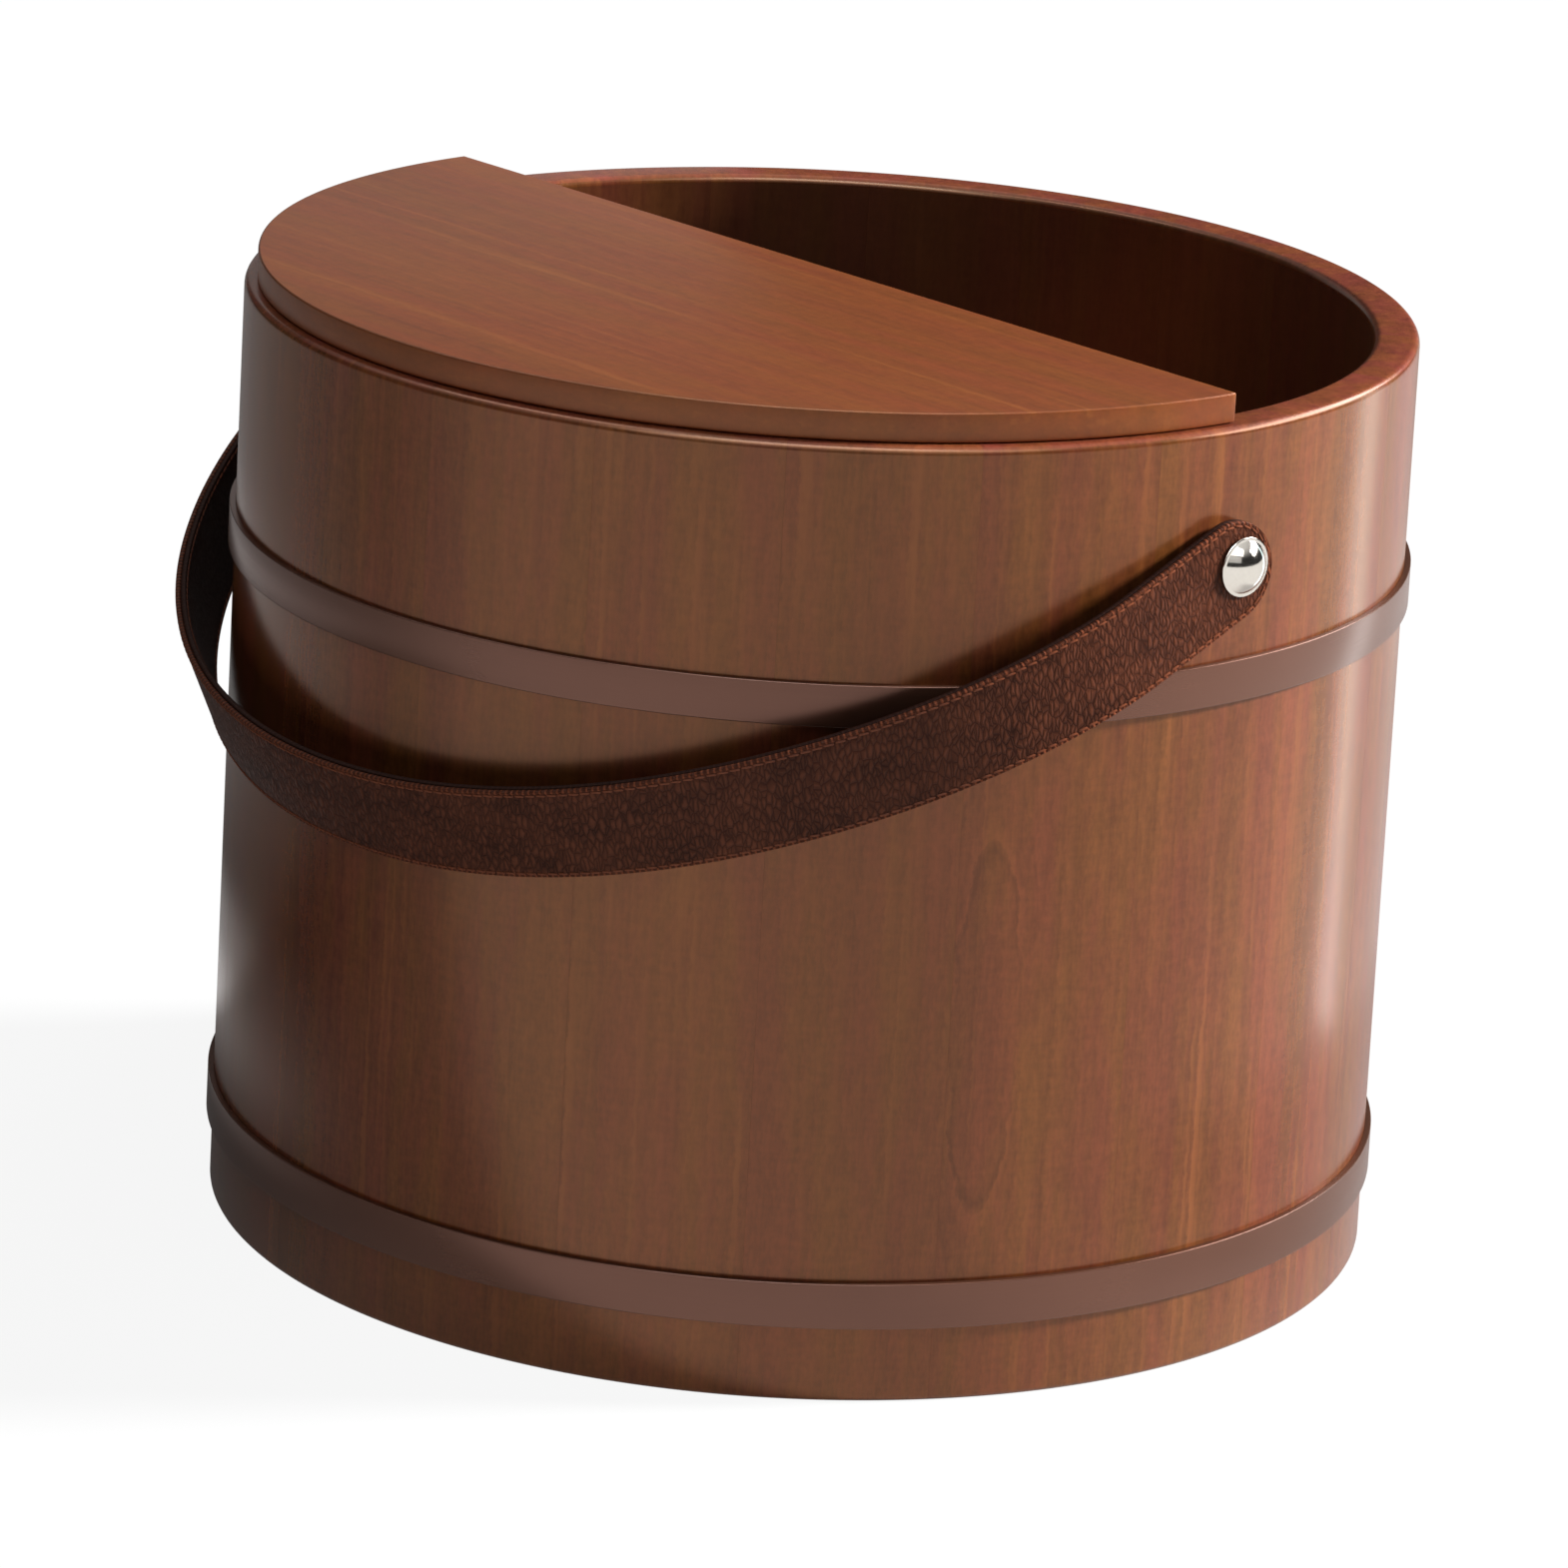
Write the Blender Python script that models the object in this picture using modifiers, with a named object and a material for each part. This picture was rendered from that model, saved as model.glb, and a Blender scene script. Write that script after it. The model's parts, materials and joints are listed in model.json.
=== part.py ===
"""Wooden foot soak bucket: a coopered barrel with a half lid and a swinging leather handle.

Units are metres and +Z is up. The origin is on the floor, on the barrel's axis.
The handle's screws lie along X, and the half lid covers the side towards -Y.
"""
import math

import bmesh
import bpy
from mathutils import Matrix

# Clearance between pieces that touch
FIT = 0.0003

# How the rounds are divided, and how far a cutter runs past what it cuts
STAVE_FACETS = 4
ROUND_FACETS = 24
DOWEL_FACETS = 12
SCREW_FACETS = 12
NUT_SIDES = 6
EDGE_STEPS = 3
DOME_STEPS = 6
STRAP_END_STEPS = 6
STRAP_STEPS = 26
DIP_PASSES = 8
SMOOTH_ANGLE = math.radians(35)
EDGE_ANGLE = math.radians(45)
WELD = 0.00001
RUN_PAST = 0.010

# Barrel wall
BARREL_HEIGHT = 0.299
RIM_RADIUS = 0.185
FOOT_SPREAD = 0.002
WALL = 0.0145
RIM_ROUND = 0.0026
FOOT_ROUND = 0.0018
STAVES = 20

# Bottom boards, their groove and their dowels
BOTTOM_LIFT = 0.022
BOTTOM_THICKNESS = 0.014
GROOVE_DEPTH = 0.005
BOTTOM_BOARDS = 4
DOWEL_RADIUS = 0.004
DOWEL_LENGTH = 0.030
DOWEL_SPACING = 0.150

# Pivot screws below the rim, the upper hoop below them, the lower hoop above the floor
PIVOT_DROP = 0.0415
UPPER_HOOP_DROP = 0.0308
UPPER_HOOP_WIDTH = 0.0132
LOWER_HOOP_LIFT = 0.0242
LOWER_HOOP_WIDTH = 0.0144
HOOP_THICKNESS = 0.0017
HOOP_EDGE = 0.0005

# Half lid, its battens and their screws
LID_INSET = 0.004
LID_THICKNESS = 0.0092
LID_SETBACK = 0.0017
LID_EDGE = 0.0005
LID_TURN = math.radians(1.3)
BATTEN_SPACING = 0.170
BATTEN_WIDTH = 0.020
BATTEN_DEPTH = 0.010
BATTEN_EDGE = 0.0010
BATTEN_START = 0.018
BATTEN_PLAY = 0.0015
SCREWS_PER_BATTEN = 3
SCREW_END_MARGIN = 0.016
SCREW_BITE = 0.0050
SCREW_SHANK_RADIUS = 0.0017
SCREW_POINT_RADIUS = 0.0006
SCREW_HEAD_RADIUS = 0.0035
SCREW_SINK = 0.0005

# Handle strap
SWING_ROOM = 0.0282
REST_GAP = 0.0005
STRAP_WIDTH = 0.032
STRAP_LAYER = 0.0017
STRAP_EDGE = 0.0004
STRAP_STRAIGHT = 0.040
STRAP_SIDE_PULL = 0.065
STRAP_END_PULL = 0.125
STRAP_OVERRUN = 0.0115
STRAP_END_FLAT = 0.001

# Pivot hardware
BOLT_RADIUS = 0.003
BOLT_HEAD_RADIUS = 0.0093
BOLT_HEAD_RISE = 0.0050
BOLT_RIM = 0.0009
BUSH_WALL = 0.0012
BUSH_FLANGE_RADIUS = 0.0085
BUSH_FLANGE = 0.0015
WASHER_RADIUS = 0.0080
WASHER_THICKNESS = 0.0012
NUT_WALL = 0.0017
NUT_HEIGHT = 0.0050
NUT_DOME_INSET = 0.0004
NUT_DOME_WALL = 0.0012
BOLT_PAST_NUT = 0.0005

# Sizes that follow from those above
TURN_FACETS = STAVES * STAVE_FACETS
STAVE_ANGLE = 2 * math.pi / STAVES
FOOT_RADIUS = RIM_RADIUS + FOOT_SPREAD
PIVOT_HEIGHT = BARREL_HEIGHT - PIVOT_DROP
UPPER_HOOP_BASE = PIVOT_HEIGHT - UPPER_HOOP_DROP - UPPER_HOOP_WIDTH
LID_RADIUS = RIM_RADIUS - LID_INSET
LID_BASE = BARREL_HEIGHT + FIT
BATTEN_TOP = LID_BASE - FIT
BATTEN_BASE = BATTEN_TOP - BATTEN_DEPTH


def wall_radius(height):
    """Outer radius of the wall, which narrows from the floor to the rim."""
    return FOOT_RADIUS + (RIM_RADIUS - FOOT_RADIUS) * height / BARREL_HEIGHT


def inner_radius(height):
    """Inner radius of the wall."""
    return wall_radius(height) - WALL


GROOVE_RADIUS = inner_radius(BOTTOM_LIFT + BOTTOM_THICKNESS / 2) + GROOVE_DEPTH
BOTTOM_RADIUS = GROOVE_RADIUS - FIT

# Places along X of what is stacked on each pivot screw, from the wall outwards and inwards
WALL_FACE = max(wall_radius(PIVOT_HEIGHT - BUSH_FLANGE_RADIUS), wall_radius(PIVOT_HEIGHT + BUSH_FLANGE_RADIUS))
FLANGE_FACE = WALL_FACE + FIT + BUSH_FLANGE
STRAP_THICKNESS = 2 * STRAP_LAYER + FIT
STRAP_INSIDE = FLANGE_FACE + FIT
STRAP_OUTSIDE = STRAP_INSIDE + STRAP_THICKNESS
HEAD_SEAT = STRAP_OUTSIDE + FIT
HOLLOW_FACE = min(inner_radius(PIVOT_HEIGHT - WASHER_RADIUS), inner_radius(PIVOT_HEIGHT + WASHER_RADIUS))
WASHER_SEAT = math.sqrt(HOLLOW_FACE ** 2 - WASHER_RADIUS ** 2) - FIT
NUT_SEAT = WASHER_SEAT - WASHER_THICKNESS - FIT
BUSH_BORE = BOLT_RADIUS + FIT
BUSH_RADIUS = BUSH_BORE + BUSH_WALL
STRAP_HOLE = BUSH_RADIUS + FIT
BOLT_TIP = NUT_SEAT - NUT_HEIGHT - BOLT_PAST_NUT
NUT_BORE_END = BOLT_TIP - FIT
NUT_HALF_WIDTH = BUSH_BORE + NUT_WALL
STRAP_REACH = WALL_FACE + SWING_ROOM + STRAP_THICKNESS


def resting_dip():
    """How far below level the handle hangs when its lower inner edge lies on the wall."""
    inside_reach = STRAP_REACH - STRAP_THICKNESS
    half_width = STRAP_WIDTH / 2
    corner = math.hypot(inside_reach, half_width)
    corner_angle = math.atan2(half_width, inside_reach)
    dip = 0.0
    for _ in range(DIP_PASSES):
        touch_height = PIVOT_HEIGHT - corner * math.sin(dip + corner_angle)
        touch_radius = wall_radius(touch_height) + REST_GAP
        dip = math.acos(touch_radius / corner) - corner_angle
    return dip


HANDLE_DIP = resting_dip()

COLOURS = {
    "lacquered_wood": ((0.155, 0.066, 0.037), 0.30, 0.0),
    "lid_wood": ((0.260, 0.100, 0.048), 0.36, 0.0),
    "inner_wood": ((0.060, 0.020, 0.010), 0.40, 0.0),
    "hoop_steel": ((0.165, 0.085, 0.065), 0.38, 0.3),
    "grained_leather": ((0.040, 0.014, 0.009), 0.62, 0.0),
    "lining_leather": ((0.018, 0.008, 0.006), 0.70, 0.0),
    "polished_steel": ((0.80, 0.80, 0.80), 0.12, 1.0),
    "screw_steel": ((0.62, 0.60, 0.55), 0.35, 1.0),
    "dowel_wood": ((0.42, 0.27, 0.15), 0.60, 0.0),
}


def clear_scene():
    """Removes every object that the new file starts with."""
    for item in list(bpy.data.objects):
        bpy.data.objects.remove(item, do_unlink=True)


def make_collection(name):
    group = bpy.data.collections.new(name)
    bpy.context.scene.collection.children.link(group)
    return group


def make_material(name, piece_name):
    """A piece's own Principled material in one of the bucket's finishes."""
    colour, roughness, metallic = COLOURS[name]
    material = bpy.data.materials.new(piece_name + "_" + name)
    material.use_nodes = True
    shader = material.node_tree.nodes["Principled BSDF"]
    shader.inputs["Base Color"].default_value = (*colour, 1.0)
    shader.inputs["Roughness"].default_value = roughness
    shader.inputs["Metallic"].default_value = metallic
    material.diffuse_color = (*colour, 1.0)
    return material


def add_piece(name, mesh, finish, location=(0, 0, 0), turn=(0, 0, 0), parent=None):
    """Puts a mesh in the scene as one named sub-part with its own material."""
    piece = bpy.data.objects.new(name, mesh)
    PARTS.objects.link(piece)
    piece.location = location
    piece.rotation_euler = turn
    piece.parent = parent
    piece.data.materials.clear()
    piece.data.materials.append(make_material(finish, name))
    return piece


def add_empty(name, location, turn=(0, 0, 0)):
    empty = bpy.data.objects.new(name, None)
    PARTS.objects.link(empty)
    empty.location = location
    empty.rotation_euler = turn
    return empty


def shade(mesh):
    """Smooth round faces with crisp edges."""
    mesh.shade_smooth()
    mesh.set_sharp_from_angle(angle=SMOOTH_ANGLE)


def arc(centre, radius, start_degrees, end_degrees, steps):
    """Points of an arc in a profile's plane, both ends included."""
    points = []
    for step in range(steps + 1):
        angle = math.radians(start_degrees + (end_degrees - start_degrees) * step / steps)
        points.append((centre[0] + radius * math.cos(angle), centre[1] + radius * math.sin(angle)))
    return points


def turned_mesh(name, profile, steps, angle=2 * math.pi, closed=True, start=0.0):
    """Turns a profile of (radius, height) points about Z with a Screw modifier and returns the mesh."""
    form = bmesh.new()
    corners = [form.verts.new((radius, 0, height)) for radius, height in profile]
    for first, second in zip(corners, corners[1:]):
        form.edges.new((first, second))
    if closed:
        form.edges.new((corners[-1], corners[0]))
    bmesh.ops.rotate(form, verts=form.verts, cent=(0, 0, 0), matrix=Matrix.Rotation(start, 3, "Z"))
    outline = bpy.data.meshes.new(name + "_profile")
    form.to_mesh(outline)
    form.free()
    turner = bpy.data.objects.new(name + "_profile", outline)
    CUTTERS.objects.link(turner)
    screw = turner.modifiers.new("Turn", "SCREW")
    screw.axis = "Z"
    screw.angle = angle
    screw.steps = steps
    screw.render_steps = steps
    screw.use_merge_vertices = True
    screw.merge_threshold = WELD
    screw.use_smooth_shade = True
    bpy.context.view_layer.update()
    mesh = bpy.data.meshes.new_from_object(turner.evaluated_get(bpy.context.evaluated_depsgraph_get()))
    mesh.name = name
    bpy.data.objects.remove(turner, do_unlink=True)
    return mesh


def cap_open_ends(mesh):
    """Fills the two flat ends of a profile that was turned part of the way round."""
    form = bmesh.new()
    form.from_mesh(mesh)
    bmesh.ops.remove_doubles(form, verts=form.verts, dist=WELD)
    bmesh.ops.holes_fill(form, edges=[edge for edge in form.edges if edge.is_boundary], sides=0)
    bmesh.ops.recalc_face_normals(form, faces=form.faces)
    form.to_mesh(mesh)
    form.free()


def cylinder_mesh(name, radius, length, sides, along="Z", lift=0.0):
    """A closed cylinder along X, Y or Z, with its middle lifted off the origin along its own axis."""
    form = bmesh.new()
    bmesh.ops.create_cone(form, cap_ends=True, segments=sides, radius1=radius, radius2=radius, depth=length)
    bmesh.ops.translate(form, verts=form.verts, vec=(0, 0, lift))
    quarter = math.pi / 2
    if along == "X":
        bmesh.ops.rotate(form, verts=form.verts, cent=(0, 0, 0), matrix=Matrix.Rotation(quarter, 3, "Y"))
    if along == "Y":
        bmesh.ops.rotate(form, verts=form.verts, cent=(0, 0, 0), matrix=Matrix.Rotation(quarter, 3, "X"))
    mesh = bpy.data.meshes.new(name)
    form.to_mesh(mesh)
    form.free()
    return mesh


def box_mesh(name, size):
    form = bmesh.new()
    bmesh.ops.create_cube(form, size=1.0)
    bmesh.ops.scale(form, verts=form.verts, vec=size)
    mesh = bpy.data.meshes.new(name)
    form.to_mesh(mesh)
    form.free()
    return mesh


def slice_mesh(mesh, place, direction):
    """Keeps what lies behind a plane and closes the cut."""
    form = bmesh.new()
    form.from_mesh(mesh)
    bmesh.ops.bisect_plane(
        form,
        geom=form.verts[:] + form.edges[:] + form.faces[:],
        dist=WELD / 10,
        plane_co=place,
        plane_no=direction,
        clear_outer=True,
    )
    bmesh.ops.holes_fill(form, edges=[edge for edge in form.edges if edge.is_boundary], sides=0)
    bmesh.ops.recalc_face_normals(form, faces=form.faces)
    form.to_mesh(mesh)
    form.free()


def add_cutter(name, mesh, location=(0, 0, 0), turn=(0, 0, 0), parent=None):
    cutter = bpy.data.objects.new(name, mesh)
    CUTTERS.objects.link(cutter)
    cutter.location = location
    cutter.rotation_euler = turn
    cutter.parent = parent
    cutter.hide_render = True
    cutter.display_type = "WIRE"
    return cutter


def cut(piece, cutter):
    boolean = piece.modifiers.new("Cut " + cutter.name, "BOOLEAN")
    boolean.operation = "DIFFERENCE"
    boolean.solver = "EXACT"
    boolean.object = cutter


def soften(piece, width):
    """Takes the sharpness off every edge that turns by more than half a right angle."""
    bevel = piece.modifiers.new("Edges", "BEVEL")
    bevel.width = width
    bevel.segments = 1
    bevel.limit_method = "ANGLE"
    bevel.angle_limit = EDGE_ANGLE


def stave_profile():
    """Section of a stave in (radius, height), down its outer side and up its inner side."""
    rim = BARREL_HEIGHT
    groove_top = BOTTOM_LIFT + BOTTOM_THICKNESS + FIT
    groove_base = BOTTOM_LIFT - FIT
    points = arc((wall_radius(rim) - RIM_ROUND, rim - RIM_ROUND), RIM_ROUND, 90, 0, EDGE_STEPS)
    points += arc((wall_radius(0) - FOOT_ROUND, FOOT_ROUND), FOOT_ROUND, 0, -90, EDGE_STEPS)
    points.append((inner_radius(0) + FOOT_ROUND, 0))
    points.append((inner_radius(FOOT_ROUND), FOOT_ROUND))
    points.append((inner_radius(groove_base), groove_base))
    points.append((GROOVE_RADIUS, groove_base))
    points.append((GROOVE_RADIUS, groove_top))
    points.append((inner_radius(groove_top), groove_top))
    points += arc((inner_radius(rim) + RIM_ROUND, rim - RIM_ROUND), RIM_ROUND, 180, 90, EDGE_STEPS)
    return points


def make_staves():
    """One board, turned over its own share of the circle, set round the barrel and drilled at the pivots."""
    angle = STAVE_ANGLE - FIT / RIM_RADIUS
    mesh = turned_mesh("stave", stave_profile(), STAVE_FACETS, angle=angle, start=-angle / 2)
    cap_open_ends(mesh)
    shade(mesh)
    holes = []
    for side, letter in ((-1, "left"), (1, "right")):
        hole_length = 2 * (WALL + RUN_PAST)
        hole_mesh = cylinder_mesh("bolt_hole", BUSH_BORE, hole_length, ROUND_FACETS, along="X")
        hole = add_cutter("bolt_hole_" + letter, hole_mesh, (side * WALL_FACE, 0, PIVOT_HEIGHT))
        holes.append((side, hole))
    for number in range(STAVES):
        stave = add_piece("stave_%02d" % (number + 1), mesh.copy(), "lacquered_wood")
        direction = number * STAVE_ANGLE
        stave.rotation_euler.z = direction
        for side, hole in holes:
            off_axis = math.acos(side * math.cos(direction))
            if off_axis < STAVE_ANGLE / 2 + BUSH_BORE / WALL_FACE:
                cut(stave, hole)


def make_bottom():
    """A disc sawn into boards, held in the staves' groove and pinned edge to edge with dowels."""
    board_width = 2 * BOTTOM_RADIUS / BOTTOM_BOARDS
    middle = BOTTOM_LIFT + BOTTOM_THICKNESS / 2
    hole_length = DOWEL_LENGTH + 2 * FIT
    for number in range(BOTTOM_BOARDS):
        near = -BOTTOM_RADIUS + number * board_width
        far = near + board_width
        mesh = cylinder_mesh("bottom_board", BOTTOM_RADIUS, BOTTOM_THICKNESS, TURN_FACETS)
        if number > 0:
            slice_mesh(mesh, (0, near + FIT / 2, 0), (0, -1, 0))
        if number < BOTTOM_BOARDS - 1:
            slice_mesh(mesh, (0, far - FIT / 2, 0), (0, 1, 0))
        shade(mesh)
        board = add_piece("bottom_board_%d" % (number + 1), mesh, "inner_wood", (0, 0, middle))
        for seam in range(1, BOTTOM_BOARDS):
            if seam not in (number, number + 1):
                continue
            for side in (-1, 1):
                place = (side * DOWEL_SPACING / 2, -BOTTOM_RADIUS + seam * board_width, middle)
                hole = cylinder_mesh("dowel_hole", DOWEL_RADIUS + FIT, hole_length, DOWEL_FACETS, along="Y")
                cut(board, add_cutter("dowel_hole_%d_%d_%d" % (number, seam, side), hole, place))
    for seam in range(1, BOTTOM_BOARDS):
        for side, letter in ((-1, "a"), (1, "b")):
            mesh = cylinder_mesh("dowel", DOWEL_RADIUS, DOWEL_LENGTH, DOWEL_FACETS, along="Y")
            shade(mesh)
            place = (side * DOWEL_SPACING / 2, -BOTTOM_RADIUS + seam * board_width, middle)
            add_piece("bottom_dowel_%d%s" % (seam, letter), mesh, "dowel_wood", place)


def make_hoop(name, base, width):
    """A flat closed band that follows the wall's taper, with its outer edges taken off."""
    top = base + width

    def inside(height):
        return wall_radius(height) + FIT

    def outside(height):
        return inside(height) + HOOP_THICKNESS

    profile = [
        (inside(top), top),
        (outside(top) - HOOP_EDGE, top),
        (outside(top - HOOP_EDGE), top - HOOP_EDGE),
        (outside(base + HOOP_EDGE), base + HOOP_EDGE),
        (outside(base) - HOOP_EDGE, base),
        (inside(base), base),
    ]
    mesh = turned_mesh(name, profile, TURN_FACETS, start=STAVE_ANGLE / 2)
    shade(mesh)
    add_piece(name, mesh, "hoop_steel")


def screw_profile():
    """Countersunk wood screw with its head down, from its point to the middle of its head."""
    head = BATTEN_BASE + SCREW_SINK
    tip = LID_BASE + SCREW_BITE
    shoulder = head + SCREW_HEAD_RADIUS - SCREW_SHANK_RADIUS
    return [
        (0, tip),
        (SCREW_POINT_RADIUS, tip),
        (SCREW_SHANK_RADIUS, tip - SCREW_HEAD_RADIUS),
        (SCREW_SHANK_RADIUS, shoulder),
        (SCREW_HEAD_RADIUS, head),
        (0, head),
    ]


def screw_hole_profile():
    """The hole for a batten screw, open at the batten's underside, with a clearance all round."""
    head = BATTEN_BASE + SCREW_SINK
    tip = LID_BASE + SCREW_BITE + FIT
    shoulder = head + SCREW_HEAD_RADIUS - SCREW_SHANK_RADIUS
    below = BATTEN_BASE - RUN_PAST
    return [
        (0, tip),
        (SCREW_SHANK_RADIUS + FIT, tip),
        (SCREW_SHANK_RADIUS + FIT, shoulder),
        (SCREW_HEAD_RADIUS + FIT, head),
        (SCREW_HEAD_RADIUS + FIT, below),
        (0, below),
    ]


def make_lid():
    """Half-round board with two battens that drop inside the rim."""
    holder = add_empty("lid_frame", (0, 0, 0), (0, 0, LID_TURN))
    mesh = cylinder_mesh("lid_board", LID_RADIUS, LID_THICKNESS, TURN_FACETS)
    slice_mesh(mesh, (0, -LID_SETBACK, 0), (0, 1, 0))
    shade(mesh)
    board = add_piece("lid_board", mesh, "lid_wood", (0, 0, LID_BASE + LID_THICKNESS / 2), parent=holder)
    soften(board, LID_EDGE)
    reach = inner_radius(BARREL_HEIGHT) - BATTEN_PLAY
    outer_side = BATTEN_SPACING / 2 + BATTEN_WIDTH / 2
    far_end = -math.sqrt(reach ** 2 - outer_side ** 2)
    near_end = -LID_SETBACK - BATTEN_START
    length = near_end - far_end
    for side, letter in ((-1, "left"), (1, "right")):
        place_x = side * BATTEN_SPACING / 2
        middle = (place_x, (near_end + far_end) / 2, (BATTEN_TOP + BATTEN_BASE) / 2)
        batten_mesh = box_mesh("lid_batten", (BATTEN_WIDTH, length, BATTEN_DEPTH))
        batten = add_piece("lid_batten_" + letter, batten_mesh, "inner_wood", middle, parent=holder)
        soften(batten, BATTEN_EDGE)
        pitch = (length - 2 * SCREW_END_MARGIN) / (SCREWS_PER_BATTEN - 1)
        for number in range(SCREWS_PER_BATTEN):
            place = (place_x, near_end - SCREW_END_MARGIN - number * pitch, 0)
            screw_mesh = turned_mesh("lid_screw", screw_profile(), SCREW_FACETS, closed=False)
            shade(screw_mesh)
            screw_name = "lid_screw_%s_%d" % (letter, number + 1)
            add_piece(screw_name, screw_mesh, "screw_steel", place, parent=holder)
            hole_mesh = turned_mesh("screw_hole", screw_hole_profile(), SCREW_FACETS, closed=False)
            hole = add_cutter("screw_hole_%s_%d" % (letter, number + 1), hole_mesh, place, parent=holder)
            cut(batten, hole)
            cut(board, hole)


def strap_line(depth):
    """Half of the strap's line in plan, from the screw to the far end, at a depth below its outer face."""
    side = STRAP_OUTSIDE
    reach = STRAP_REACH
    pulls = [
        (side, STRAP_STRAIGHT),
        (side, STRAP_STRAIGHT + STRAP_SIDE_PULL),
        (STRAP_END_PULL, reach),
        (0, reach),
    ]
    points = [(side - depth, -STRAP_OVERRUN), (side - depth, STRAP_STRAIGHT / 2)]
    for step in range(STRAP_STEPS + 1):
        t = step / STRAP_STEPS
        weights = ((1 - t) ** 3, 3 * t * (1 - t) ** 2, 3 * t * t * (1 - t), t ** 3)
        slopes = (-3 * (1 - t) ** 2, 3 * (1 - t) * (1 - 3 * t), 3 * t * (2 - 3 * t), 3 * t * t)
        x = sum(weight * pull[0] for weight, pull in zip(weights, pulls))
        y = sum(weight * pull[1] for weight, pull in zip(weights, pulls))
        along_x = sum(slope * pull[0] for slope, pull in zip(slopes, pulls))
        along_y = sum(slope * pull[1] for slope, pull in zip(slopes, pulls))
        length = math.hypot(along_x, along_y)
        points.append((x - depth * along_y / length, y + depth * along_x / length))
    return points


def make_strap_layer(name, finish, depth, pivot):
    """A leather ribbon along the strap's line, with round ends and the leather's thickness."""
    half = strap_line(depth + STRAP_LAYER / 2)
    line = half + [(-x, y) for x, y in reversed(half[:-1])]
    form = bmesh.new()
    lower = [form.verts.new((x, -y, -STRAP_WIDTH / 2)) for x, y in line]
    edges = [form.edges.new(pair) for pair in zip(lower, lower[1:])]
    raised = bmesh.ops.extrude_edge_only(form, edges=edges)
    upper = [item for item in raised["geom"] if isinstance(item, bmesh.types.BMVert)]
    bmesh.ops.translate(form, verts=upper, vec=(0, 0, STRAP_WIDTH))
    corners = [vert for vert in form.verts if len(vert.link_edges) == 2]
    bmesh.ops.bevel(
        form,
        geom=corners,
        offset=(STRAP_WIDTH - STRAP_END_FLAT) / 2,
        offset_type="OFFSET",
        segments=STRAP_END_STEPS,
        profile=0.5,
        affect="VERTICES",
    )
    mesh = bpy.data.meshes.new(name)
    form.to_mesh(mesh)
    form.free()
    shade(mesh)
    strap = add_piece(name, mesh, finish, parent=pivot)
    solidify = strap.modifiers.new("Leather", "SOLIDIFY")
    solidify.thickness = STRAP_LAYER
    solidify.offset = 0
    solidify.use_even_offset = True
    soften(strap, STRAP_EDGE)
    return strap


def make_handle():
    """Two leather layers that turn together about the screws."""
    pivot = add_empty("handle_pivot", (0, 0, PIVOT_HEIGHT), (HANDLE_DIP, 0, 0))
    outer = make_strap_layer("strap_leather", "grained_leather", 0, pivot)
    lining = make_strap_layer("strap_lining", "lining_leather", STRAP_LAYER + FIT, pivot)
    middle = (STRAP_INSIDE + STRAP_OUTSIDE) / 2
    for side, letter in ((-1, "left"), (1, "right")):
        hole_length = STRAP_THICKNESS + 2 * RUN_PAST
        hole_mesh = cylinder_mesh("strap_hole", STRAP_HOLE, hole_length, ROUND_FACETS, along="X")
        hole = add_cutter("strap_hole_" + letter, hole_mesh, (side * middle, 0, 0), parent=pivot)
        cut(outer, hole)
        cut(lining, hole)


def finish_pivot_piece(name, mesh, side, finish):
    """Lays a piece that was modelled along Z on the pivot screw's axis, its upper end outwards."""
    shade(mesh)
    return add_piece(name, mesh, finish, (0, 0, PIVOT_HEIGHT), (0, side * math.pi / 2, 0))


def make_bolt(name, side):
    """Domed screw with a thin rim round its polished head, through the strap and the wall."""
    rise = BOLT_HEAD_RISE - BOLT_RIM
    sphere = (BOLT_HEAD_RADIUS ** 2 + rise ** 2) / (2 * rise)
    centre = (0, HEAD_SEAT + BOLT_HEAD_RISE - sphere)
    edge_angle = 90 - math.degrees(math.asin(BOLT_HEAD_RADIUS / sphere))
    profile = arc(centre, sphere, 90, edge_angle, DOME_STEPS)
    profile.append((BOLT_HEAD_RADIUS, HEAD_SEAT))
    profile.append((BOLT_RADIUS, HEAD_SEAT))
    profile.append((BOLT_RADIUS, BOLT_TIP))
    profile.append((0, BOLT_TIP))
    mesh = turned_mesh(name, profile, ROUND_FACETS, closed=False)
    finish_pivot_piece(name, mesh, side, "polished_steel")


def make_bush(name, side):
    """Flanged sleeve: the flange keeps the strap off the wall and the strap turns on the sleeve."""
    seat = WALL_FACE + FIT
    profile = [
        (BUSH_RADIUS, STRAP_OUTSIDE),
        (BUSH_RADIUS, FLANGE_FACE),
        (BUSH_FLANGE_RADIUS, FLANGE_FACE),
        (BUSH_FLANGE_RADIUS, seat),
        (BUSH_BORE, seat),
        (BUSH_BORE, STRAP_OUTSIDE),
    ]
    mesh = turned_mesh(name, profile, ROUND_FACETS)
    finish_pivot_piece(name, mesh, side, "screw_steel")


def make_washer(name, side):
    """Flat washer inside the wall, on its hollow face."""
    profile = [
        (WASHER_RADIUS, WASHER_SEAT),
        (WASHER_RADIUS, WASHER_SEAT - WASHER_THICKNESS),
        (BUSH_BORE, WASHER_SEAT - WASHER_THICKNESS),
        (BUSH_BORE, WASHER_SEAT),
    ]
    mesh = turned_mesh(name, profile, ROUND_FACETS)
    finish_pivot_piece(name, mesh, side, "screw_steel")


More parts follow.
